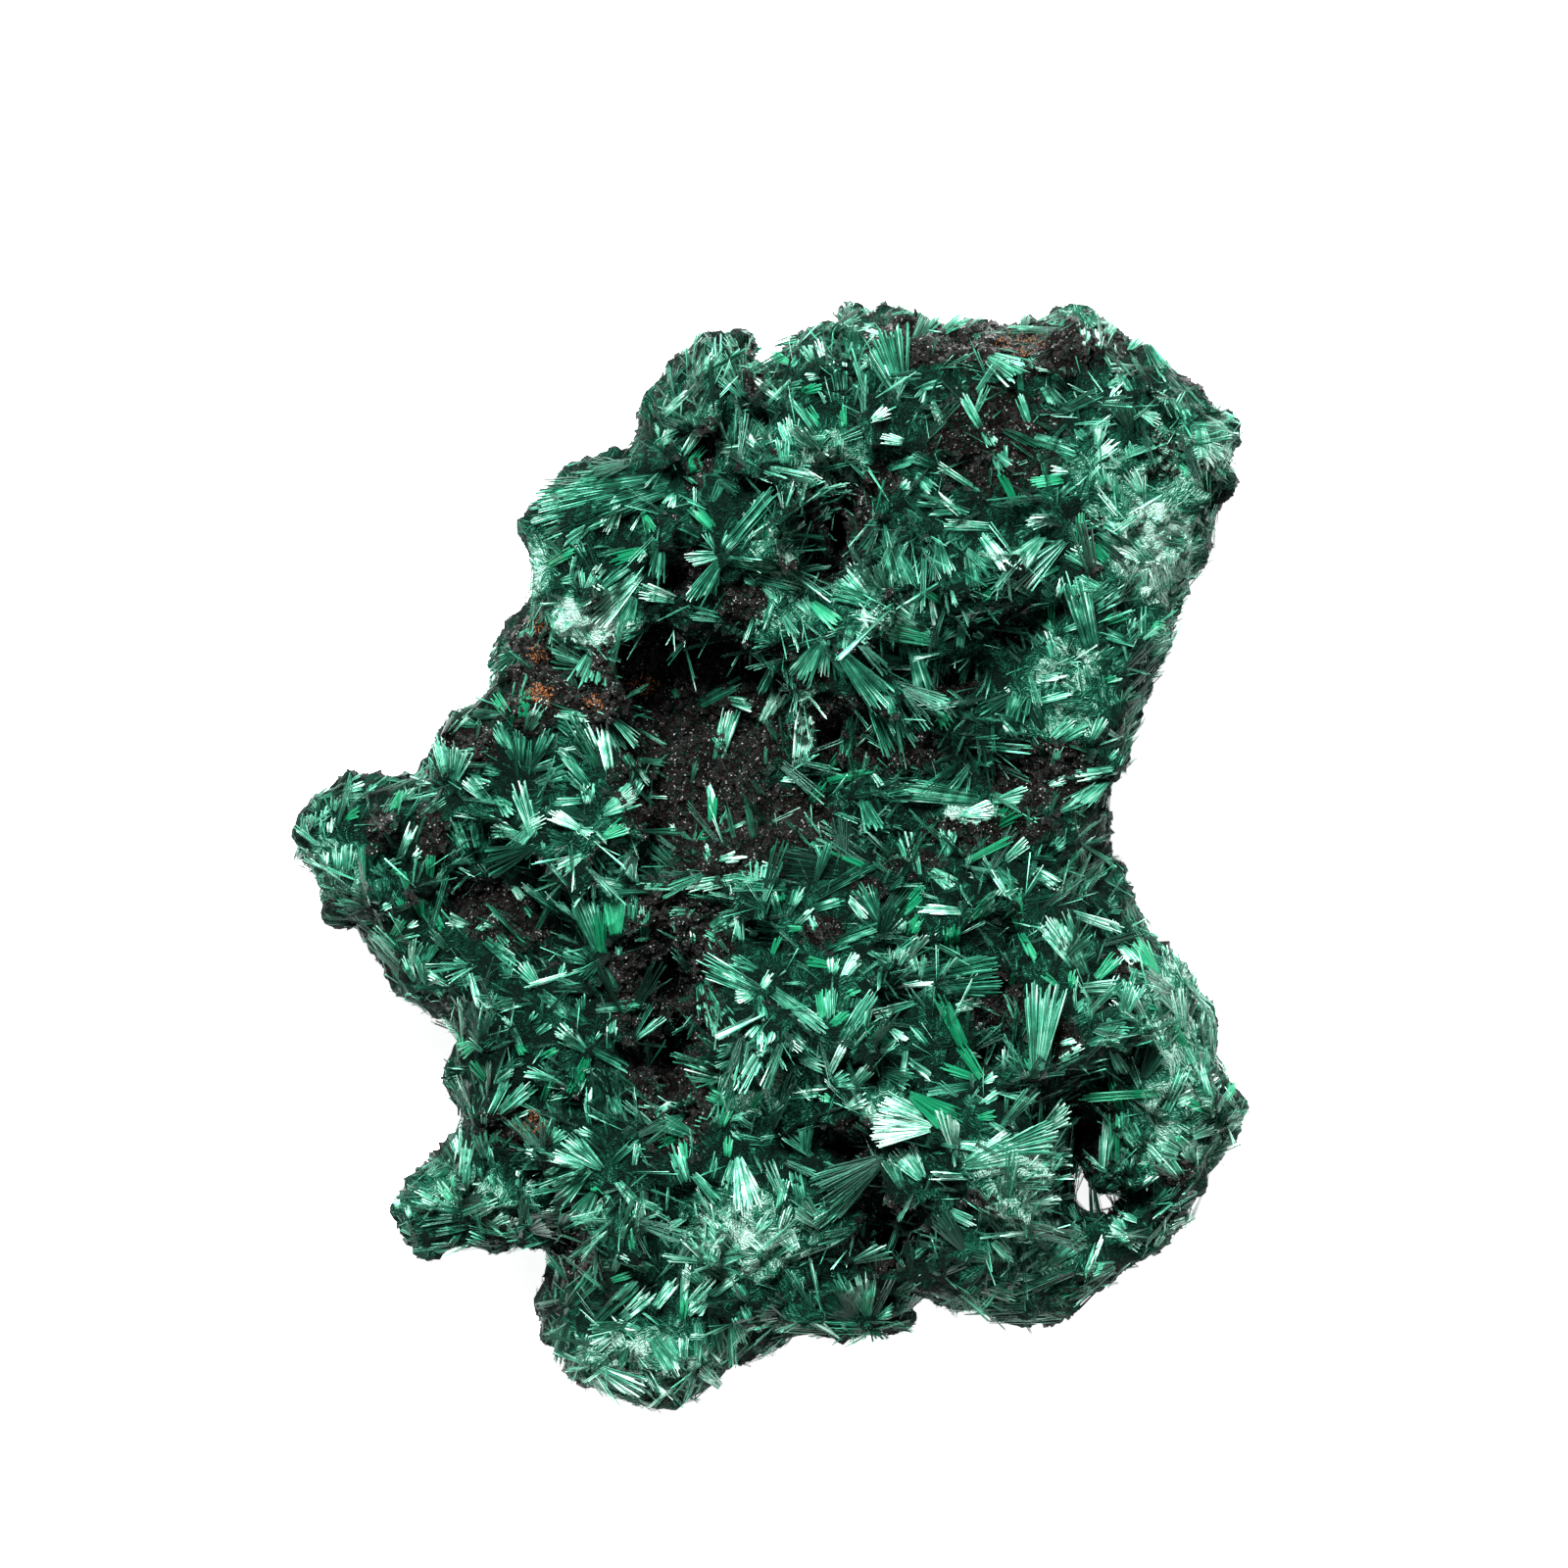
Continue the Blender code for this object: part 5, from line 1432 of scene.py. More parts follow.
def scattered_field(places: np.ndarray, wave: float, octaves: int) -> np.ndarray:
    """A soft random field from 0 to 1 over the skin.

    Args:
        places: Points in millimetres.
        wave: Size of its spots.
        octaves: How many finer copies are added.

    Returns:
        One value per point.
    """
    values = [noise.fractal(Vector(place) / wave, 1.0, 2.0, octaves) for place in places]
    return WANDER_LEVEL.of(np.array(values))


# How the ways of the flows and of the placed sprays fall off and add up around them.
FLOW_FALL = 1.4
SPRAY_PULL = 1.5
SPRAY_REACH = 0.6
LEAST_REACH = 2.2
LONE_WAY = np.array([0.01, -0.02, 0.002])


def flow_field(places: np.ndarray) -> tuple[np.ndarray, np.ndarray]:
    """Which way the sprays grow at each point, and how firmly.

    Args:
        places: Points in millimetres.

    Returns:
        A direction per point, and a pull from 0 to 1.
    """
    total = np.zeros((len(places), 3))
    pull = np.zeros(len(places))
    for flow in FLOWS:
        x, y = skin_point(flow.x, flow.y)
        distance = np.hypot(places[:, 0] - x, places[:, 1] - y) / (flow.reach * PIXEL)
        weight = np.exp(-distance ** 2 * FLOW_FALL)
        angle = math.radians(flow.heading)
        total += weight[:, None] * np.array([math.cos(angle), math.sin(angle), 0.0])
        pull = np.maximum(pull, weight)
    for spray in SPRAYS:
        root, along, length = spray.plan()
        middle = root + along * SPRAY_MIDDLE
        reach = max(LEAST_REACH, SPRAY_REACH * length)
        distance = np.hypot(places[:, 0] - middle[0], places[:, 1] - middle[1]) / reach
        weight = SPRAY_PULL * np.exp(-distance ** 2 * FLOW_FALL)
        way = along / length
        total += weight[:, None] * np.array([way[0], way[1], 0.0])
        pull = np.maximum(pull, np.clip(weight, 0, 1))
    total += LONE_WAY
    return total / np.linalg.norm(total, axis=1, keepdims=True), pull


# The skin that a placed spray hides: margins in millimetres, ends as shares of its length.
COVER_MARGIN = 0.35
COVER_EDGE = 0.4
COVER_WIDTH = Ramp(1.0, 0.2, 0.2, 1.1)
COVER_ENDS = (-0.03, 1.05)


def spray_cover(places: np.ndarray) -> np.ndarray:
    """How far each point lies under one of the placed sprays, as seen from above.

    Args:
        places: Points in millimetres.

    Returns:
        One value from 0 to 1 per point.
    """
    cover = np.zeros(len(places))
    for spray in SPRAYS:
        root, along, length = spray.plan()
        way = along / length
        offset = places[:, :2] - root
        part = (offset @ way) / length
        aside = np.abs(offset[:, 0] * way[1] - offset[:, 1] * way[0])
        half = COVER_MARGIN + 0.5 * spray.spread * PIXEL * COVER_WIDTH.of(part)
        inside = np.clip((half - aside) / COVER_EDGE + 0.5, 0, 1)
        near, far = COVER_ENDS
        cover = np.maximum(cover, inside * (part > near) * (part < far))
    return cover


@dataclass
class MeshStore:
    """Collects many small shapes into one mesh with its map and attributes."""

    points: list[np.ndarray] = field(default_factory=list)
    faces: list[np.ndarray] = field(default_factory=list)
    maps: list[np.ndarray] = field(default_factory=list)
    values: dict[str, list[np.ndarray]] = field(
        default_factory=lambda: {"tone": [], "chance": [], "calm": []})
    count: int = 0

    def add(self, points: np.ndarray, faces: np.ndarray, marks: np.ndarray,
            **values: float) -> None:
        """Adds one shape.

        Args:
            points: Its vertices.
            faces: Its triangles, counted from its first vertex.
            marks: Across and along for each vertex.
            values: Its tone, its own chance from 0 to 1, and calm, 1 for a glassy blade.
        """
        self.points.append(points)
        self.faces.append(faces + self.count)
        self.maps.append(marks)
        for name, value in values.items():
            self.values[name].append(np.full(len(points), value))
        self.count += len(points)

    def mesh(self, name: str) -> bpy.types.Mesh:
        """Writes everything that was added into one mesh.

        Args:
            name: The mesh's name.

        Returns:
            The new mesh.
        """
        points = np.concatenate(self.points)
        faces = np.concatenate(self.faces)
        marks = np.concatenate(self.maps)
        mesh = bpy.data.meshes.new(name)
        mesh.from_pydata(points.tolist(), [], faces.tolist())
        uv = mesh.uv_layers.new(name="fibre")
        uv.data.foreach_set("uv", marks[faces.ravel()].astype(np.float32).ravel())
        for label, parts in self.values.items():
            store_field(mesh, label, np.concatenate(parts))
        mesh.update()
        return mesh


@dataclass(frozen=True)
class FanShape:
    """A fan of fibres one unit long, with its root at the origin and its tip along +Y.

    Args:
        fibres: How many fibres it has.
        spread: Width of its ragged end.
        waist: Width of its root as a share of its end's, near 1 for a lath.
        ragged: How unequal its fibres' lengths are.
        thickness: Depth of the bundle at its end.
        bend: Sideways bend of the fibres.
        curl: How far the fibres curl down towards their tips.
        rings: Rings of points along each fibre, 1 for a straight wedge.
    """

    fibres: int = 11
    spread: float = 0.5
    waist: float = 0.12
    ragged: float = 0.28
    thickness: float = 0.07
    bend: float = 0.0
    curl: float = 0.0
    rings: int = 1

    # The corners of a fibre's section: aside, above, and across on its map.
    SIDES = ((-0.5, 0.0, 0.0), (0.5, 0.0, 0.9), (0.0, 1.0, 0.45))
    # Sizes of a fibre's ends against its middle, and how slantwise its tip is cut.
    ROOT_SIZE = 0.3
    TIP_SIZE = 0.55
    TIP_SLANT = 1.8
    # How unevenly fibres stand, end, swell and sway.
    JITTER = 0.22
    RAGGED_POWER = 1.4
    ROUND_END = 0.25
    WIDTHS = (1.0, 1.9)
    HEIGHTS = (0.7, 1.3)
    HEIGHT_OF_WIDTH = 0.55
    HEIGHT_OF_BUNDLE = 0.25
    SWAY = 0.25
    LEAST_ARC = 0.1

    def fibre_faces(self) -> np.ndarray:
        """The triangles of one fibre, which has two points at its root and three a ring.

        Returns:
            Three vertex numbers per triangle.
        """
        faces = [(0, 2, 3), (0, 3, 1), (0, 4, 2), (1, 3, 4), (0, 1, 4)]
        for ring in range(1, self.rings):
            low = 3 * ring - 1
            for near, far in ((0, 1), (1, 2), (2, 0)):
                faces.append((low + near, low + 3 + near, low + 3 + far))
                faces.append((low + near, low + 3 + far, low + far))
        top = 3 * self.rings - 1
        return np.array([*faces, (top, top + 2, top + 1)])

    def fill(self, store: MeshStore, chance: np.random.Generator, frame_matrix: np.ndarray,
             origin: np.ndarray, length: float, tone: float, calm: float = 0.0,
             lay: Callable[[np.ndarray], np.ndarray] | None = None) -> None:
        """Adds the fan's fibres to a store.

        Args:
            store: Where they go.
            chance: The source of their unevenness.
            frame_matrix: Rows across, along and up of the fan.
            origin: Place of its root.
            length: Its length in millimetres.
            tone: How its fibres look.
            calm: 1 for glassy blades with few streaks.
            lay: Moves a fibre's points clear of what lies under it, if given.
        """
        own = float(chance.random())
        faces = self.fibre_faces()
        step = self.spread / max(self.fibres - 1, 1)
        waist = self.waist * self.spread
        gain = 1 - self.ROOT_SIZE
        for index in range(self.fibres):
            share = index / (self.fibres - 1) - 0.5 if self.fibres > 1 else 0.0
            share += chance.normal(0, self.JITTER) / self.fibres
            reach = 1 - self.ragged * chance.random() ** self.RAGGED_POWER
            reach -= self.ROUND_END * share ** 2
            width = step * chance.uniform(*self.WIDTHS)
            height = max(width * self.HEIGHT_OF_WIDTH, self.thickness * self.HEIGHT_OF_BUNDLE)
            height *= chance.uniform(*self.HEIGHTS)
            layer = chance.uniform(-0.5, 0.5) * self.thickness
            sway = chance.normal(0, self.SWAY) * step
            points, marks = [], []
            for ring in range(self.rings + 1):
                part = ring / self.rings * reach
                middle = np.array([
                    share * (waist + (self.spread - waist) * part) + self.bend * part ** 2
                    + sway * part,
                    part * math.sqrt(max(self.LEAST_ARC, 1 - (share * self.spread) ** 2)),
                    layer * (self.ROOT_SIZE + gain * part) - self.curl * part ** 2,
                ])
                grow = self.ROOT_SIZE + gain * part / reach
                if ring == self.rings:
                    grow *= self.TIP_SIZE
                for side, rise, mark in self.SIDES[:2 if ring == 0 else 3]:
                    corner = middle + np.array([side * width * grow, 0.0, rise * height * grow])
                    if ring == self.rings:
                        slant = chance.uniform(-self.TIP_SLANT, self.TIP_SLANT)
                        corner[1] += side * width * slant
                    points.append(corner)
                    marks.append((index + mark, part))
            shaped = np.array(points) * length @ frame_matrix + origin
            if lay is not None:
                shaped = lay(shaped)
            store.add(shaped, faces, np.array(marks, float), tone=tone, chance=own, calm=calm)


@dataclass
class PlacedSprays:
    """The sprays that the photograph shows one by one, laid on the body by their pixels.

    Args:
        body: The body they grow on.
        seed: Fixes their unevenness.
        fibre_width: Width of a fibre at the ragged end, in millimetres.
    """

    body: ClusterBody
    seed: int = 5
    fibre_width: float = 0.15

    # Steps of a sight that passes the body, the least height that it may find, and the
    # height in millimetres that is used where it finds none.
    SIGHT_STEPS = 12
    LEAST_SIGHT = 1.0
    LOST_HEIGHT = 12.0
    # How fibres are kept clear of the skin.
    SKY_HEIGHT = 60.0
    CLEARANCE = 0.25
    MOST_LIFT = 2.5
    MOST_RISE = 3.0
    ROOT_SINK = 0.3
    # The fans' shapes, by length and width in millimetres.
    UP_PULL = Vector((0, 0, 2))
    LEAST_FIBRES = 3
    WAIST_FALL = 1.6
    WAISTS = (0.12, 0.85)
    RAGGED = 0.3
    CURL = 0.04
    BUNDLE_DEPTH = 0.35
    LEAST_THICKNESS = 0.03
    RING_LENGTH = 1.3
    RINGS = (2, 9)
    # What pale patches, painted sheen with pale felt, add to a spray's tone, and what dark patches,
    # painted shade with darker tone, take from it.
    PALE_MOOD = 0.35
    DARK_MOOD = 0.5

    def hit(self, pixel: Pixel, toward: Pixel) -> tuple[Vector, Vector]:
        """Where a pixel's line of sight meets the body.

        Args:
            pixel: Column and row in the photograph.
            toward: Where to look next, a little at a time, if the sight passes the body.

        Returns:
            The point at that pixel, at the height found, and the skin's normal there.
        """
        eye = Vector((*CAMERA_XY, CAMERA_HEIGHT))
        for step in range(self.SIGHT_STEPS):
            part = step / self.SIGHT_STEPS
            x, y = skin_point(*(a + (b - a) * part for a, b in zip(pixel, toward)))
            aim = Vector((x, y, MIDDLE_HEIGHT)) - eye
            place, normal, _, _ = self.body.tree.ray_cast(eye, aim)
            if place is not None and place.z > self.LEAST_SIGHT:
                break
        else:
            place, normal = Vector((0, 0, self.LOST_HEIGHT)), Vector((0, 0, 1))
        start = Vector((*skin_point(*pixel), MIDDLE_HEIGHT)) - eye
        return eye + start * ((place.z - eye.z) / start.z), normal

    def over_skin(self, points: np.ndarray) -> np.ndarray:
        """Lifts a fibre's points that would dip into the body.

        Args:
            points: The fibre's points, root first, two there and three at each ring.

        Returns:
            The points, all but the root clear of the skin.
        """
        laid = points.copy()
        for low in range(2, len(points), 3):
            middle = points[low:low + 3].mean(0)
            above = Vector((middle[0], middle[1], self.SKY_HEIGHT))
            place, _, _, _ = self.body.tree.ray_cast(above, Vector((0, 0, -1)))
            if place is not None and place.z > middle[2] - self.CLEARANCE:
                lift = place.z - middle[2] + self.CLEARANCE
                laid[low:low + 3, 2] += min(lift, self.MOST_LIFT)
        return laid

    def build(self) -> bpy.types.Object:
        """Builds every placed spray in one piece.

        Returns:
            The finished piece.
        """
        chance = np.random.default_rng(self.seed)
        store = MeshStore()
        for spray in SPRAYS:
            root, root_normal = self.hit(spray.root, spray.tip)
            tip, tip_normal = self.hit(spray.tip, spray.root)
            rise = max(-self.MOST_RISE, min(self.MOST_RISE, tip.z - root.z))
            tip.z = root.z + rise + spray.lift
            root.z -= self.ROOT_SINK
            along = tip - root
            length = along.length
            up = (root_normal + tip_normal + self.UP_PULL).normalized()
            across = along.cross(up).normalized()
            up = across.cross(along).normalized()
            spread = spray.spread * PIXEL
            waist = float(np.clip(1.0 - self.WAIST_FALL * spread / length, *self.WAISTS))
            shape = FanShape(
                fibres=max(self.LEAST_FIBRES, round(spread / self.fibre_width)),
                spread=spread / length,
                waist=waist,
                ragged=self.RAGGED,
                thickness=self.BUNDLE_DEPTH / length + self.LEAST_THICKNESS,
                curl=self.CURL,
                rings=int(np.clip(round(length / self.RING_LENGTH), *self.RINGS)),
            )
            rows = np.array([across, along.normalized(), up])
            spot = np.array([root + along * SPRAY_MIDDLE])
            mood = self.PALE_MOOD * patch_weight(spot, PATCHES[Field.PALE])[0]
            mood -= self.DARK_MOOD * patch_weight(spot, PATCHES[Field.SHADE_AND_DARK])[0]
            shape.fill(
                store, chance, rows, np.array(root), length, spray.tone.value + mood,
                float(spray.tone is Tone.VIVID), self.over_skin
            )
        thing = linked_object("placed_sprays", store.mesh("placed_sprays"))
        thing.data.materials.append(SILK_FIBRE.material())
        return hand_over(thing)


class ScatterTree:
    """The Geometry Nodes tree that scatters small shapes over the body's skin."""

    INPUTS = (
        ("Shapes", "NodeSocketCollection"), ("Density", "NodeSocketFloat"),
        ("Where", "NodeSocketString"), ("Paler", "NodeSocketFloat"), ("Seed", "NodeSocketInt"),
        ("Shortest", "NodeSocketFloat"), ("Longest", "NodeSocketFloat"),
        ("Least Tilt", "NodeSocketFloat"), ("Most Tilt", "NodeSocketFloat"),
        ("Roll", "NodeSocketFloat"), ("Sink", "NodeSocketFloat"), ("Finish", "NodeSocketMaterial"),
    )
    # Range of the tones, and what painted fields add to them: painted sheen with pale felt,
    # vivid blades, and painted shade with darker tone. Range of the widths, and how much of a
    # half turn a firm pull takes away.
    TONES = (-1.1, 0.95)
    TONE_SHARES = {"pale": 0.9, "vivid": 0.3, "dark": -0.9}
    STRETCHES = (0.75, 1.3)
    HELD_TURN = 2.2

    def __init__(self) -> None:
        """Builds the tree once, for every layer to use."""
        self.tree = bpy.data.node_groups.new("scatter_on_skin", "GeometryNodeTree")
        self.identifiers: dict[str, str] = {}
        face = self.tree.interface
        face.new_socket(name="Geometry", in_out="INPUT", socket_type="NodeSocketGeometry")
        for name, kind in self.INPUTS:
            socket = face.new_socket(name=name, in_out="INPUT", socket_type=kind)
            self.identifiers[name] = socket.identifier
        face.new_socket(name="Geometry", in_out="OUTPUT", socket_type="NodeSocketGeometry")
        self.wire()

    def random(self, sketch: NodeSketch, low: object, high: object, seed: object,
               extra: int) -> bpy.types.NodeSocket:
        """A random number per point.

        Args:
            sketch: The tree being written.
            low: Least value.
            high: Greatest value.
            seed: The layer's seed.
            extra: Sets this number apart from the layer's others.

        Returns:
            The output socket.
        """
        node = sketch.add(
            "FunctionNodeRandomValue", {"data_type": "FLOAT"},
            Min=low, Max=high, Seed=sketch.math("ADD", seed, float(extra)),
        )
        return next(socket for socket in node.outputs if socket.enabled)

    def named(self, sketch: NodeSketch, name: object, kind: str = "FLOAT") -> bpy.types.NodeSocket:
        """A painted attribute, by name.

        Args:
            sketch: The tree being written.
            name: The attribute's name, or a socket that gives it.
            kind: Its data type.

        Returns:
            The output socket.
        """
        node = sketch.add("GeometryNodeInputNamedAttribute", {"data_type": kind}, Name=name)
        return next(socket for socket in node.outputs if socket.enabled)

    def wire(self) -> None:
        """Writes the tree: points on the skin, turned and tilted shapes, one real mesh."""
        sketch = NodeSketch(self.tree)
        given = sketch.add("NodeGroupInput").outputs
        density = sketch.math("MULTIPLY", given["Density"], self.named(sketch, given["Where"]))
        points = sketch.add(
            "GeometryNodeDistributePointsOnFaces", {"distribute_method": "RANDOM"},
            Mesh=given["Geometry"], Density=density, Seed=given["Seed"],
        )
        seed = given["Seed"]
        pull = self.named(sketch, "pull")
        loose = sketch.math("MULTIPLY_ADD", pull, -self.HELD_TURN, HALF_TURN)
        rotation = sketch.add(
            "FunctionNodeAxesToRotation", {"primary_axis": "Z", "secondary_axis": "Y"},
            Primary_Axis=points.outputs["Normal"],
            Secondary_Axis=self.named(sketch, "heading", "FLOAT_VECTOR"),
        ).outputs[0]
        yaw = self.random(sketch, sketch.math("MULTIPLY", loose, -1.0), loose, seed, 1)
        tilt = self.random(sketch, given["Least Tilt"], given["Most Tilt"], seed, 2)
        roll = self.random(
            sketch, sketch.math("MULTIPLY", given["Roll"], -1.0), given["Roll"], seed, 3
        )
        for axis, angle in (("Z", yaw), ("X", tilt), ("Y", roll)):
            turn = sketch.add("ShaderNodeCombineXYZ", **{axis: angle}).outputs[0]
            euler = sketch.add("FunctionNodeEulerToRotation", Euler=turn)
            rotation = sketch.add(
                "FunctionNodeRotateRotation", {"rotation_space": "LOCAL"},
                Rotation=rotation, Rotate_By=euler.outputs[0],
            ).outputs[0]
        size = self.random(sketch, given["Shortest"], given["Longest"], seed, 4)
        stretch = self.random(sketch, *self.STRETCHES, seed, 5)
        scale = sketch.add(
            "ShaderNodeCombineXYZ", X=sketch.math("MULTIPLY", size, stretch), Y=size, Z=size
        ).outputs[0]
        sunk = sketch.add(
            "GeometryNodeSetPosition", Geometry=points.outputs["Points"],
            Offset=sketch.vector(
                "SCALE", points.outputs["Normal"], sketch.math("MULTIPLY", given["Sink"], -1.0)),
        ).outputs[0]
        tone = self.random(sketch, *self.TONES, seed, 6)
        for name, share in self.TONE_SHARES.items():
            tone = sketch.math("MULTIPLY_ADD", self.named(sketch, name), share, tone)
        tone = sketch.math("ADD", tone, given["Paler"])
        marked = self.keep(sketch, sunk, "tone", tone)
        marked = self.keep(sketch, marked, "chance", self.random(sketch, 0.0, 1.0, seed, 7))
        shapes = sketch.add(
            "GeometryNodeCollectionInfo", {"transform_space": "ORIGINAL"},
            Collection=given["Shapes"], Separate_Children=True, Reset_Children=True,
        )
        grown = sketch.add(
            "GeometryNodeInstanceOnPoints", Points=marked, Instance=shapes.outputs[0],
            Pick_Instance=True, Rotation=rotation, Scale=scale,
        )
        real = sketch.add("GeometryNodeRealizeInstances", Geometry=grown.outputs[0])
        dressed = sketch.add(
            "GeometryNodeSetMaterial", Geometry=real.outputs[0], Material=given["Finish"]
        )
        sketch.add("NodeGroupOutput", Geometry=dressed.outputs[0])

    def keep(self, sketch: NodeSketch, geometry: bpy.types.NodeSocket, name: str,
             value: bpy.types.NodeSocket) -> bpy.types.NodeSocket:
        """Stores a value on the points, for the finish to read.

        Args:
            sketch: The tree being written.
            geometry: The points.
            name: The attribute's name.
            value: Its value.

        Returns:
            The geometry with the attribute.
        """
        node = sketch.add(
            "GeometryNodeStoreNamedAttribute", {"data_type": "FLOAT", "domain": "POINT"},
            Geometry=geometry, Name=name, Value=value,
        )
        return node.outputs[0]


@dataclass
class Outline:
    """The body's outline from above, which scattered shapes hardly pass.

    Args:
        body: The body.
        cell: Size of a cell of the grid that holds the outline.
        ceiling: Greatest height of any shape.
        ground: Least height of any shape.
        half: Cells from the middle of the grid to its edge.
    """

    body: ClusterBody
    cell: float = 0.4
    ceiling: float = 39.9
    ground: float = 0.02
    half: int = 200
    inside: np.ndarray = field(init=False)

    def build(self) -> None:
        """Fills the cells that the body covers, and the cells beside them."""
        grid = np.zeros((self.half * 2, self.half * 2), bool)
        column, row = self.cells(vertex_places(self.body.thing.data))
        grid[column, row] = True
        self.inside = grid.copy()
        self.inside[1:] |= grid[:-1]
        self.inside[:-1] |= grid[1:]
        self.inside[:, 1:] |= grid[:, :-1]
        self.inside[:, :-1] |= grid[:, 1:]

    def cells(self, places: np.ndarray) -> tuple[np.ndarray, np.ndarray]:
        """The grid cell of each point.

        Args:
            places: Points in millimetres.

        Returns:
            Columns and rows.
        """
        steps = (places[:, :2] / self.cell).astype(int) + self.half
        column, row = np.clip(steps, 0, 2 * self.half - 1).T
        return column, row

    def trim(self, mesh: bpy.types.Mesh) -> bpy.types.Mesh:
        """Takes out the shapes that stand past the outline, the ceiling or the floor.

        Args:
            mesh: Scattered shapes, told apart by their chance attribute.

        Returns:
            A mesh without them.
        """
        places = vertex_places(mesh)
        chance = np.empty(len(places), np.float32)
        mesh.attributes["chance"].data.foreach_get("value", chance)
        column, row = self.cells(places)
        height = places[:, 2]
        bad = ~self.inside[column, row] | (height > self.ceiling) | (height < self.ground)
        doomed = np.isin(chance, np.unique(chance[bad]))
        shape = bmesh.new()
        shape.from_mesh(mesh)
        shape.verts.ensure_lookup_table()
        gone = [shape.verts[int(index)] for index in np.nonzero(doomed)[0]]
        bmesh.ops.delete(shape, geom=gone, context="VERTS")
        shape.to_mesh(mesh)
        shape.free()
        return mesh


@dataclass
class Layer:
    """One layer of scattered shapes.

    Args:
        name: The piece's name.
        slot: The record's material slot for it; not used.
        shapes: The fans to pick from, or None for grains.
        density: Shapes per square millimetre where the field is 1.
        lengths: Shortest and longest, in millimetres.
        tilts: Least and most tilt out of the skin, in degrees.
        where: The painted field that gives where it grows.
        roll: Most roll about a shape's own length, in degrees.
        sink: How deep its root sits.
        paler: Added to every tone.
        seed: Fixes its places.
        finish: Its material.
    """

    name: str
    slot: str
    shapes: Sequence[FanShape] | None
    density: float
    lengths: tuple[float, float]
    tilts: tuple[float, float]
    where: str
    roll: float
    sink: float
    paler: float
    seed: int
    finish: bpy.types.Material

    GRAIN_SHAPES = 6

    def stock(self) -> bpy.types.Collection:
        """Makes the shapes to pick from, outside the scene.

        Returns:
            A collection that holds them.
        """
        stock = bpy.data.collections.new(f"{self.name}_stock")
        chance = np.random.default_rng(self.seed)
        if self.shapes is None:
            meshes = [grain_mesh(chance) for _ in range(self.GRAIN_SHAPES)]
        else:
            meshes = []
            for shape in self.shapes:
                store = MeshStore()
                shape.fill(store, chance, np.eye(3), np.zeros(3), 1.0, 0.0)
                meshes.append(store.mesh("fan"))
                for name in store.values:
                    meshes[-1].attributes.remove(meshes[-1].attributes[name])
        for mesh in meshes:
            stock.objects.link(bpy.data.objects.new(f"{self.name}_part", mesh))
        return stock

    def build(self, tree: ScatterTree, body: ClusterBody, outline: Outline) -> bpy.types.Object:
        """Scatters the layer over the body and hands it over.

        Args:
            tree: The scatter tree.
            body: The body, still in millimetres.
            outline: What the layer may not pass.

        Returns:
            The finished piece.
        """
        stock = self.stock()
        ground = linked_object(f"{self.name}_ground", body.thing.data)
        scatter = ground.modifiers.new("scatter", "NODES")
        scatter.node_group = tree.tree
        values = {
            "Shapes": stock, "Density": self.density, "Where": self.where, "Paler": self.paler,
            "Seed": self.seed, "Shortest": self.lengths[0], "Longest": self.lengths[1],
            "Least Tilt": math.radians(self.tilts[0]), "Most Tilt": math.radians(self.tilts[1]),
            "Roll": math.radians(self.roll), "Sink": self.sink, "Finish": self.finish,
        }
        for name, value in values.items():
            scatter[tree.identifiers[name]] = value
        mesh = outline.trim(evaluated_mesh(ground))
        bpy.data.objects.remove(ground)
        for part in list(stock.objects):
            bpy.data.objects.remove(part)
        bpy.data.collections.remove(stock)
        thing = linked_object(self.name, mesh)
        return hand_over(thing)


# Range of how far each corner of a grain stands out.
GRAIN_SIZES = (0.65, 1.3)


def grain_mesh(chance: np.random.Generator) -> bpy.types.Mesh:
    """One angular grain about a unit across.

    Args:
        chance: The source of its shape.

    Returns:
        A closed mesh of eight faces.
    """
    shape = bmesh.new()
    bmesh.ops.create_uvsphere(shape, u_segments=4, v_segments=2, radius=0.5)
    for vertex in shape.verts:
        vertex.co *= chance.uniform(*GRAIN_SIZES)
    mesh = bpy.data.meshes.new("grain")
    shape.to_mesh(mesh)
    shape.free()
    mesh.uv_layers.new(name="fibre")
    return mesh


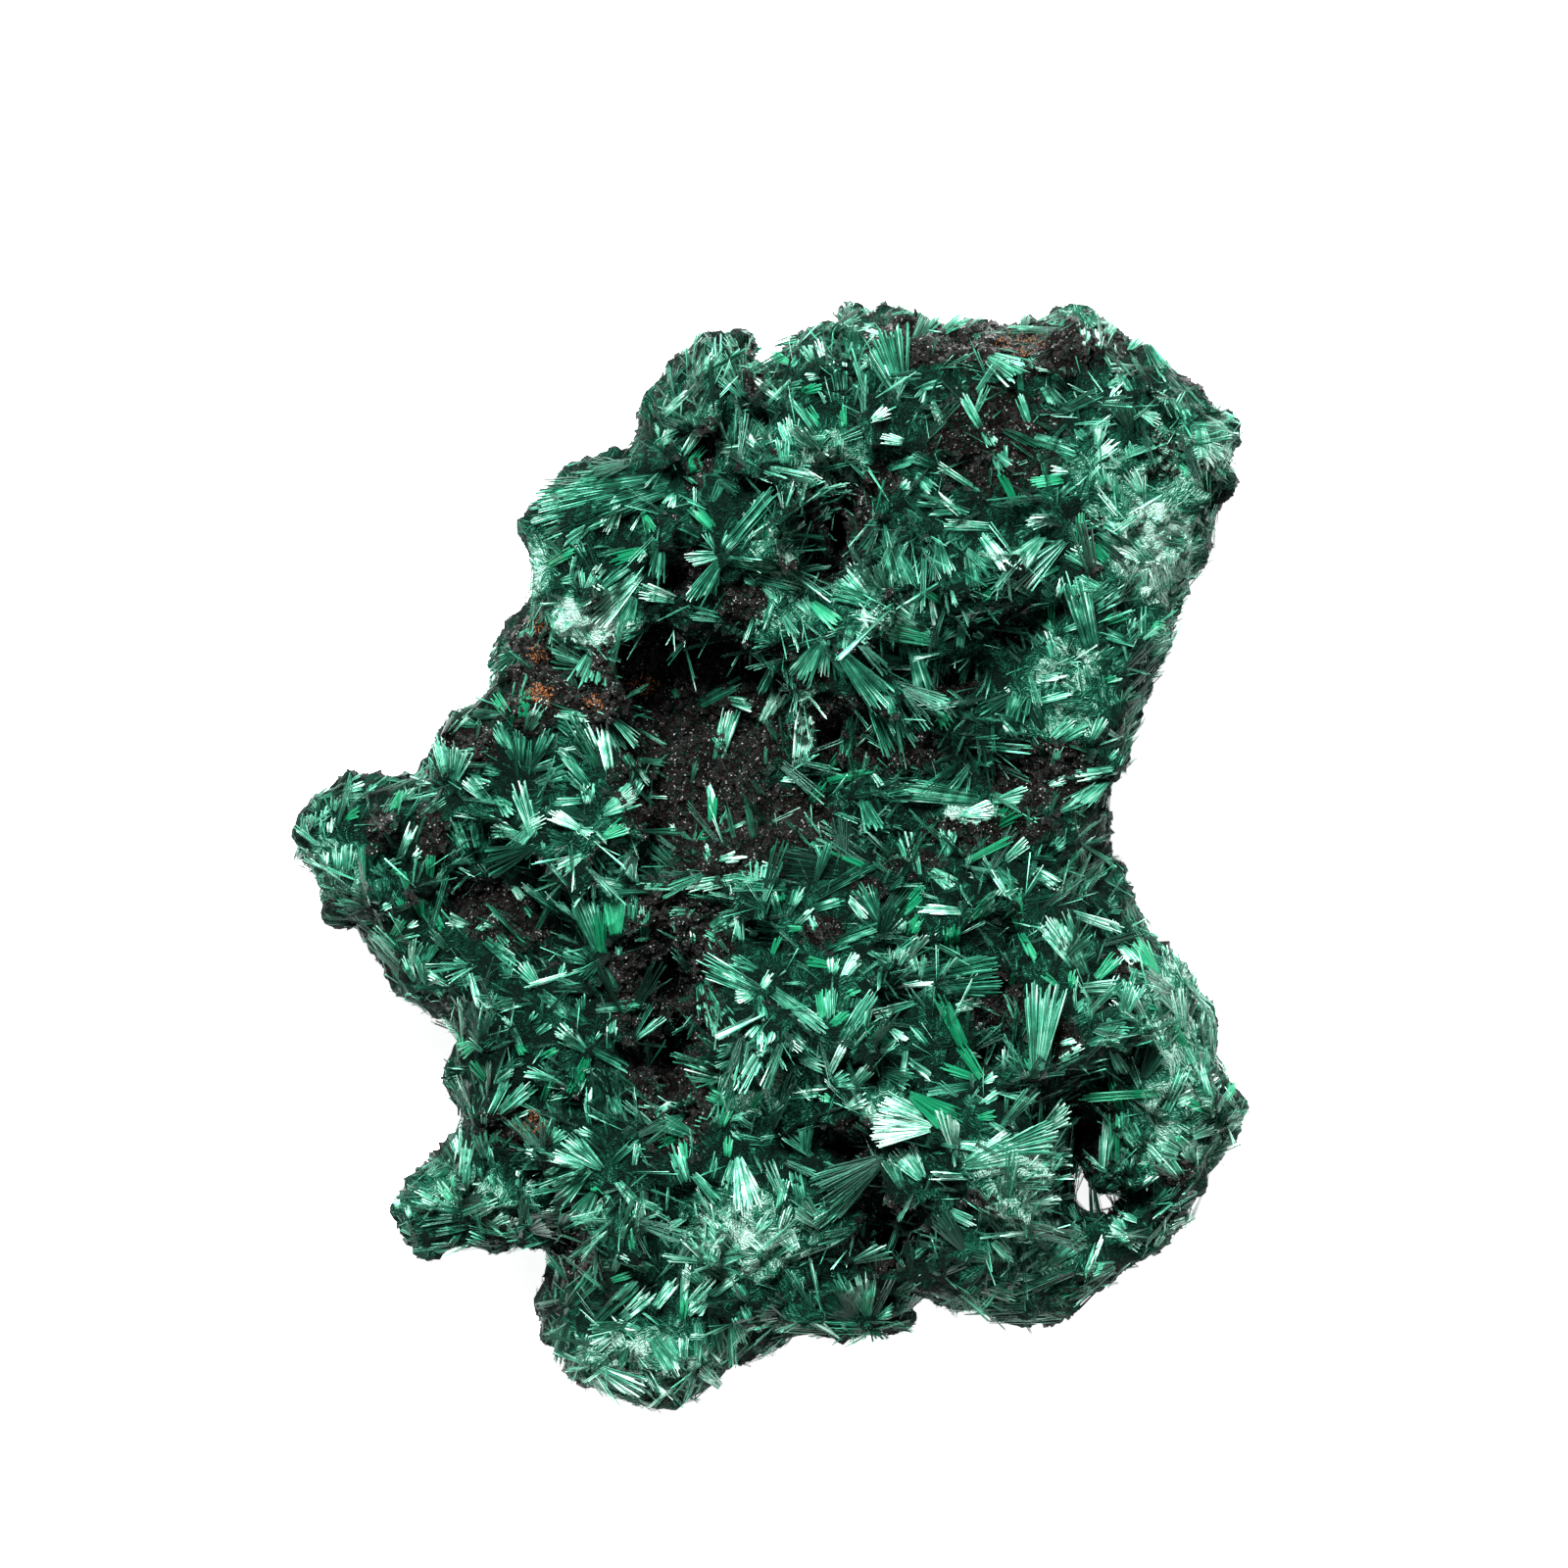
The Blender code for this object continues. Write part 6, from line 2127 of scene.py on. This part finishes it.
@dataclass(frozen=True)
class Studio:
    """A plain pale floor, soft light from the photograph's top, and its camera.

    Args:
        floor_size: The floor's side in metres.
        floor_colour: Its colour.
        floor_glow: Strength of its own light, which keeps it nearly white.
        key_power: Power of the soft box at the photograph's top, in watts.
        fill_power: Power of the one across from it.
        sky: Strength of the light from all around.
    """

    floor_size: float = 6.0
    floor_colour: Colour = (0.93, 0.93, 0.93)
    floor_glow: float = 0.88
    key_power: float = 68.0
    fill_power: float = 2.0
    sky: float = 0.2

    FLOOR_GAP = 0.0002
    FLOOR_ROUGHNESS = 0.9
    KEY_PLACE = Vector((-0.2, 0.62, 1.0))
    KEY_SIZE = 0.3
    FILL_PLACE = Vector((0.5, -0.5, 1.1))
    FILL_SIZE = 0.8

    def lamp(self, name: str, place: Vector, size: float, power: float) -> None:
        """Adds one square soft box aimed at the cluster.

        Args:
            name: Its name.
            place: Where it hangs, in metres.
            size: Its side in metres.
            power: Its power in watts.
        """
        light = bpy.data.lights.new(name, "AREA")
        light.shape = "SQUARE"
        light.size = size
        light.energy = power
        thing = bpy.data.objects.new(name, light)
        thing.location = place
        thing.rotation_euler = (-place).to_track_quat("-Z", "Y").to_euler()
        bpy.context.scene.collection.objects.link(thing)

    def build(self) -> None:
        """Builds the floor, the lights, the world and the camera."""
        shape = bmesh.new()
        bmesh.ops.create_grid(shape, x_segments=1, y_segments=1, size=self.floor_size / 2)
        mesh = bpy.data.meshes.new("floor")
        shape.to_mesh(mesh)
        shape.free()
        floor = linked_object("floor", mesh)
        floor.location.z = -self.FLOOR_GAP
        paint = bpy.data.materials.new("floor_white")
        paint.use_nodes = True
        shader = paint.node_tree.nodes["Principled BSDF"]
        shader.inputs["Base Color"].default_value = (*self.floor_colour, 1)
        shader.inputs["Roughness"].default_value = self.FLOOR_ROUGHNESS
        shader.inputs["Emission Color"].default_value = (1, 1, 1, 1)
        shader.inputs["Emission Strength"].default_value = self.floor_glow
        mesh.materials.append(paint)
        world = bpy.data.worlds.new("studio")
        world.use_nodes = True
        background = world.node_tree.nodes["Background"]
        background.inputs["Color"].default_value = (1, 1, 1, 1)
        background.inputs["Strength"].default_value = self.sky
        bpy.context.scene.world = world
        self.lamp("key", self.KEY_PLACE, self.KEY_SIZE, self.key_power)
        self.lamp("fill", self.FILL_PLACE, self.FILL_SIZE, self.fill_power)
        camera = bpy.data.cameras.new("camera")
        camera.lens = CAMERA_LENS
        camera.sensor_width = CAMERA_SENSOR
        camera.clip_end = CAMERA_REACH
        view = bpy.data.objects.new("camera", camera)
        view.location = Vector((*CAMERA_XY, CAMERA_HEIGHT)) * MILLIMETRE
        bpy.context.scene.collection.objects.link(view)
        bpy.context.scene.camera = view
        bpy.context.scene.view_settings.view_transform = "Standard"


BROAD_FANS = (
    FanShape(13, 0.40, ragged=0.2, thickness=0.1), FanShape(15, 0.55, ragged=0.26),
    FanShape(10, 0.28, ragged=0.3, waist=0.3), FanShape(12, 0.45, ragged=0.3, bend=0.12),
    FanShape(9, 0.24, ragged=0.25, bend=-0.1, waist=0.4),
)
LATHS = (
    FanShape(5, 0.10, waist=0.8, ragged=0.35), FanShape(7, 0.16, waist=0.6, ragged=0.4),
    FanShape(3, 0.05, waist=0.9, ragged=0.3), FanShape(9, 0.28, waist=0.3, ragged=0.4),
    FanShape(5, 0.09, waist=0.7, ragged=0.35, bend=0.08), FanShape(2, 0.035, waist=0.9, ragged=0.3),
)
SPLINTERS = (FanShape(2, 0.03, ragged=0.2), FanShape(1, 0.04, ragged=0.1), FanShape(3, 0.05))
TUFTS = (FanShape(6, 1.5, ragged=0.6, thickness=0.6), FanShape(5, 1.2, ragged=0.7, thickness=0.8))


def layers() -> list[Layer]:
    """The scattered layers, from the broad sprays to the grit.

    Returns:
        The layers in the order they are built.
    """
    silk = SILK_FIBRE.material()
    needle = NEEDLE_FIBRE.material()
    grit = GRIT.material()
    return [
        Layer("broad_sprays", "malachite", BROAD_FANS, 0.07, (4.0, 8.0), (0, 16), "grow", 20, 0.3,
              0.0, 11, silk),
        Layer("long_laths", "malachite", LATHS, 0.42, (3.2, 7.0), (0, 16), "grow", 30, 0.2,
              0.0, 12, silk),
        Layer("short_laths", "malachite", LATHS, 0.5, (1.8, 4.4), (0, 26), "grow", 50, 0.1,
              0.0, 13, silk),
        Layer("crossing_laths", "malachite", LATHS, 0.45, (1.5, 3.8), (0, 32), "grow", 60, 0.1,
              0.0, 23, silk),
        Layer("splinters", "malachite", SPLINTERS, 0.25, (1.5, 5.0), (0, 24), "grow", 90, 0.0,
              0.2, 14, needle),
        Layer("felt", "malachite", TUFTS, 1.3, (0.3, 0.8), (0, 50), "dust", 90, 0.05,
              0.2, 15, needle),
        Layer("matrix_grit", "matrix", None, 2.0, (0.4, 1.5), (0, 90), "matrix", 90, 0.1,
              0.0, 16, grit),
    ]


def main() -> None:
    """Builds the cluster's pieces in order, then the studio."""
    logging.basicConfig(level=logging.INFO, format="%(name)s %(message)s", stream=sys.stdout)
    body = ClusterBody()
    body.build()
    outline = Outline(body)
    outline.build()
    PlacedSprays(body).build()
    tree = ScatterTree()
    for layer in layers():
        layer.build(tree, body, outline)
    body.dress()
    Studio().build()


if __name__ == "__main__":
    main()
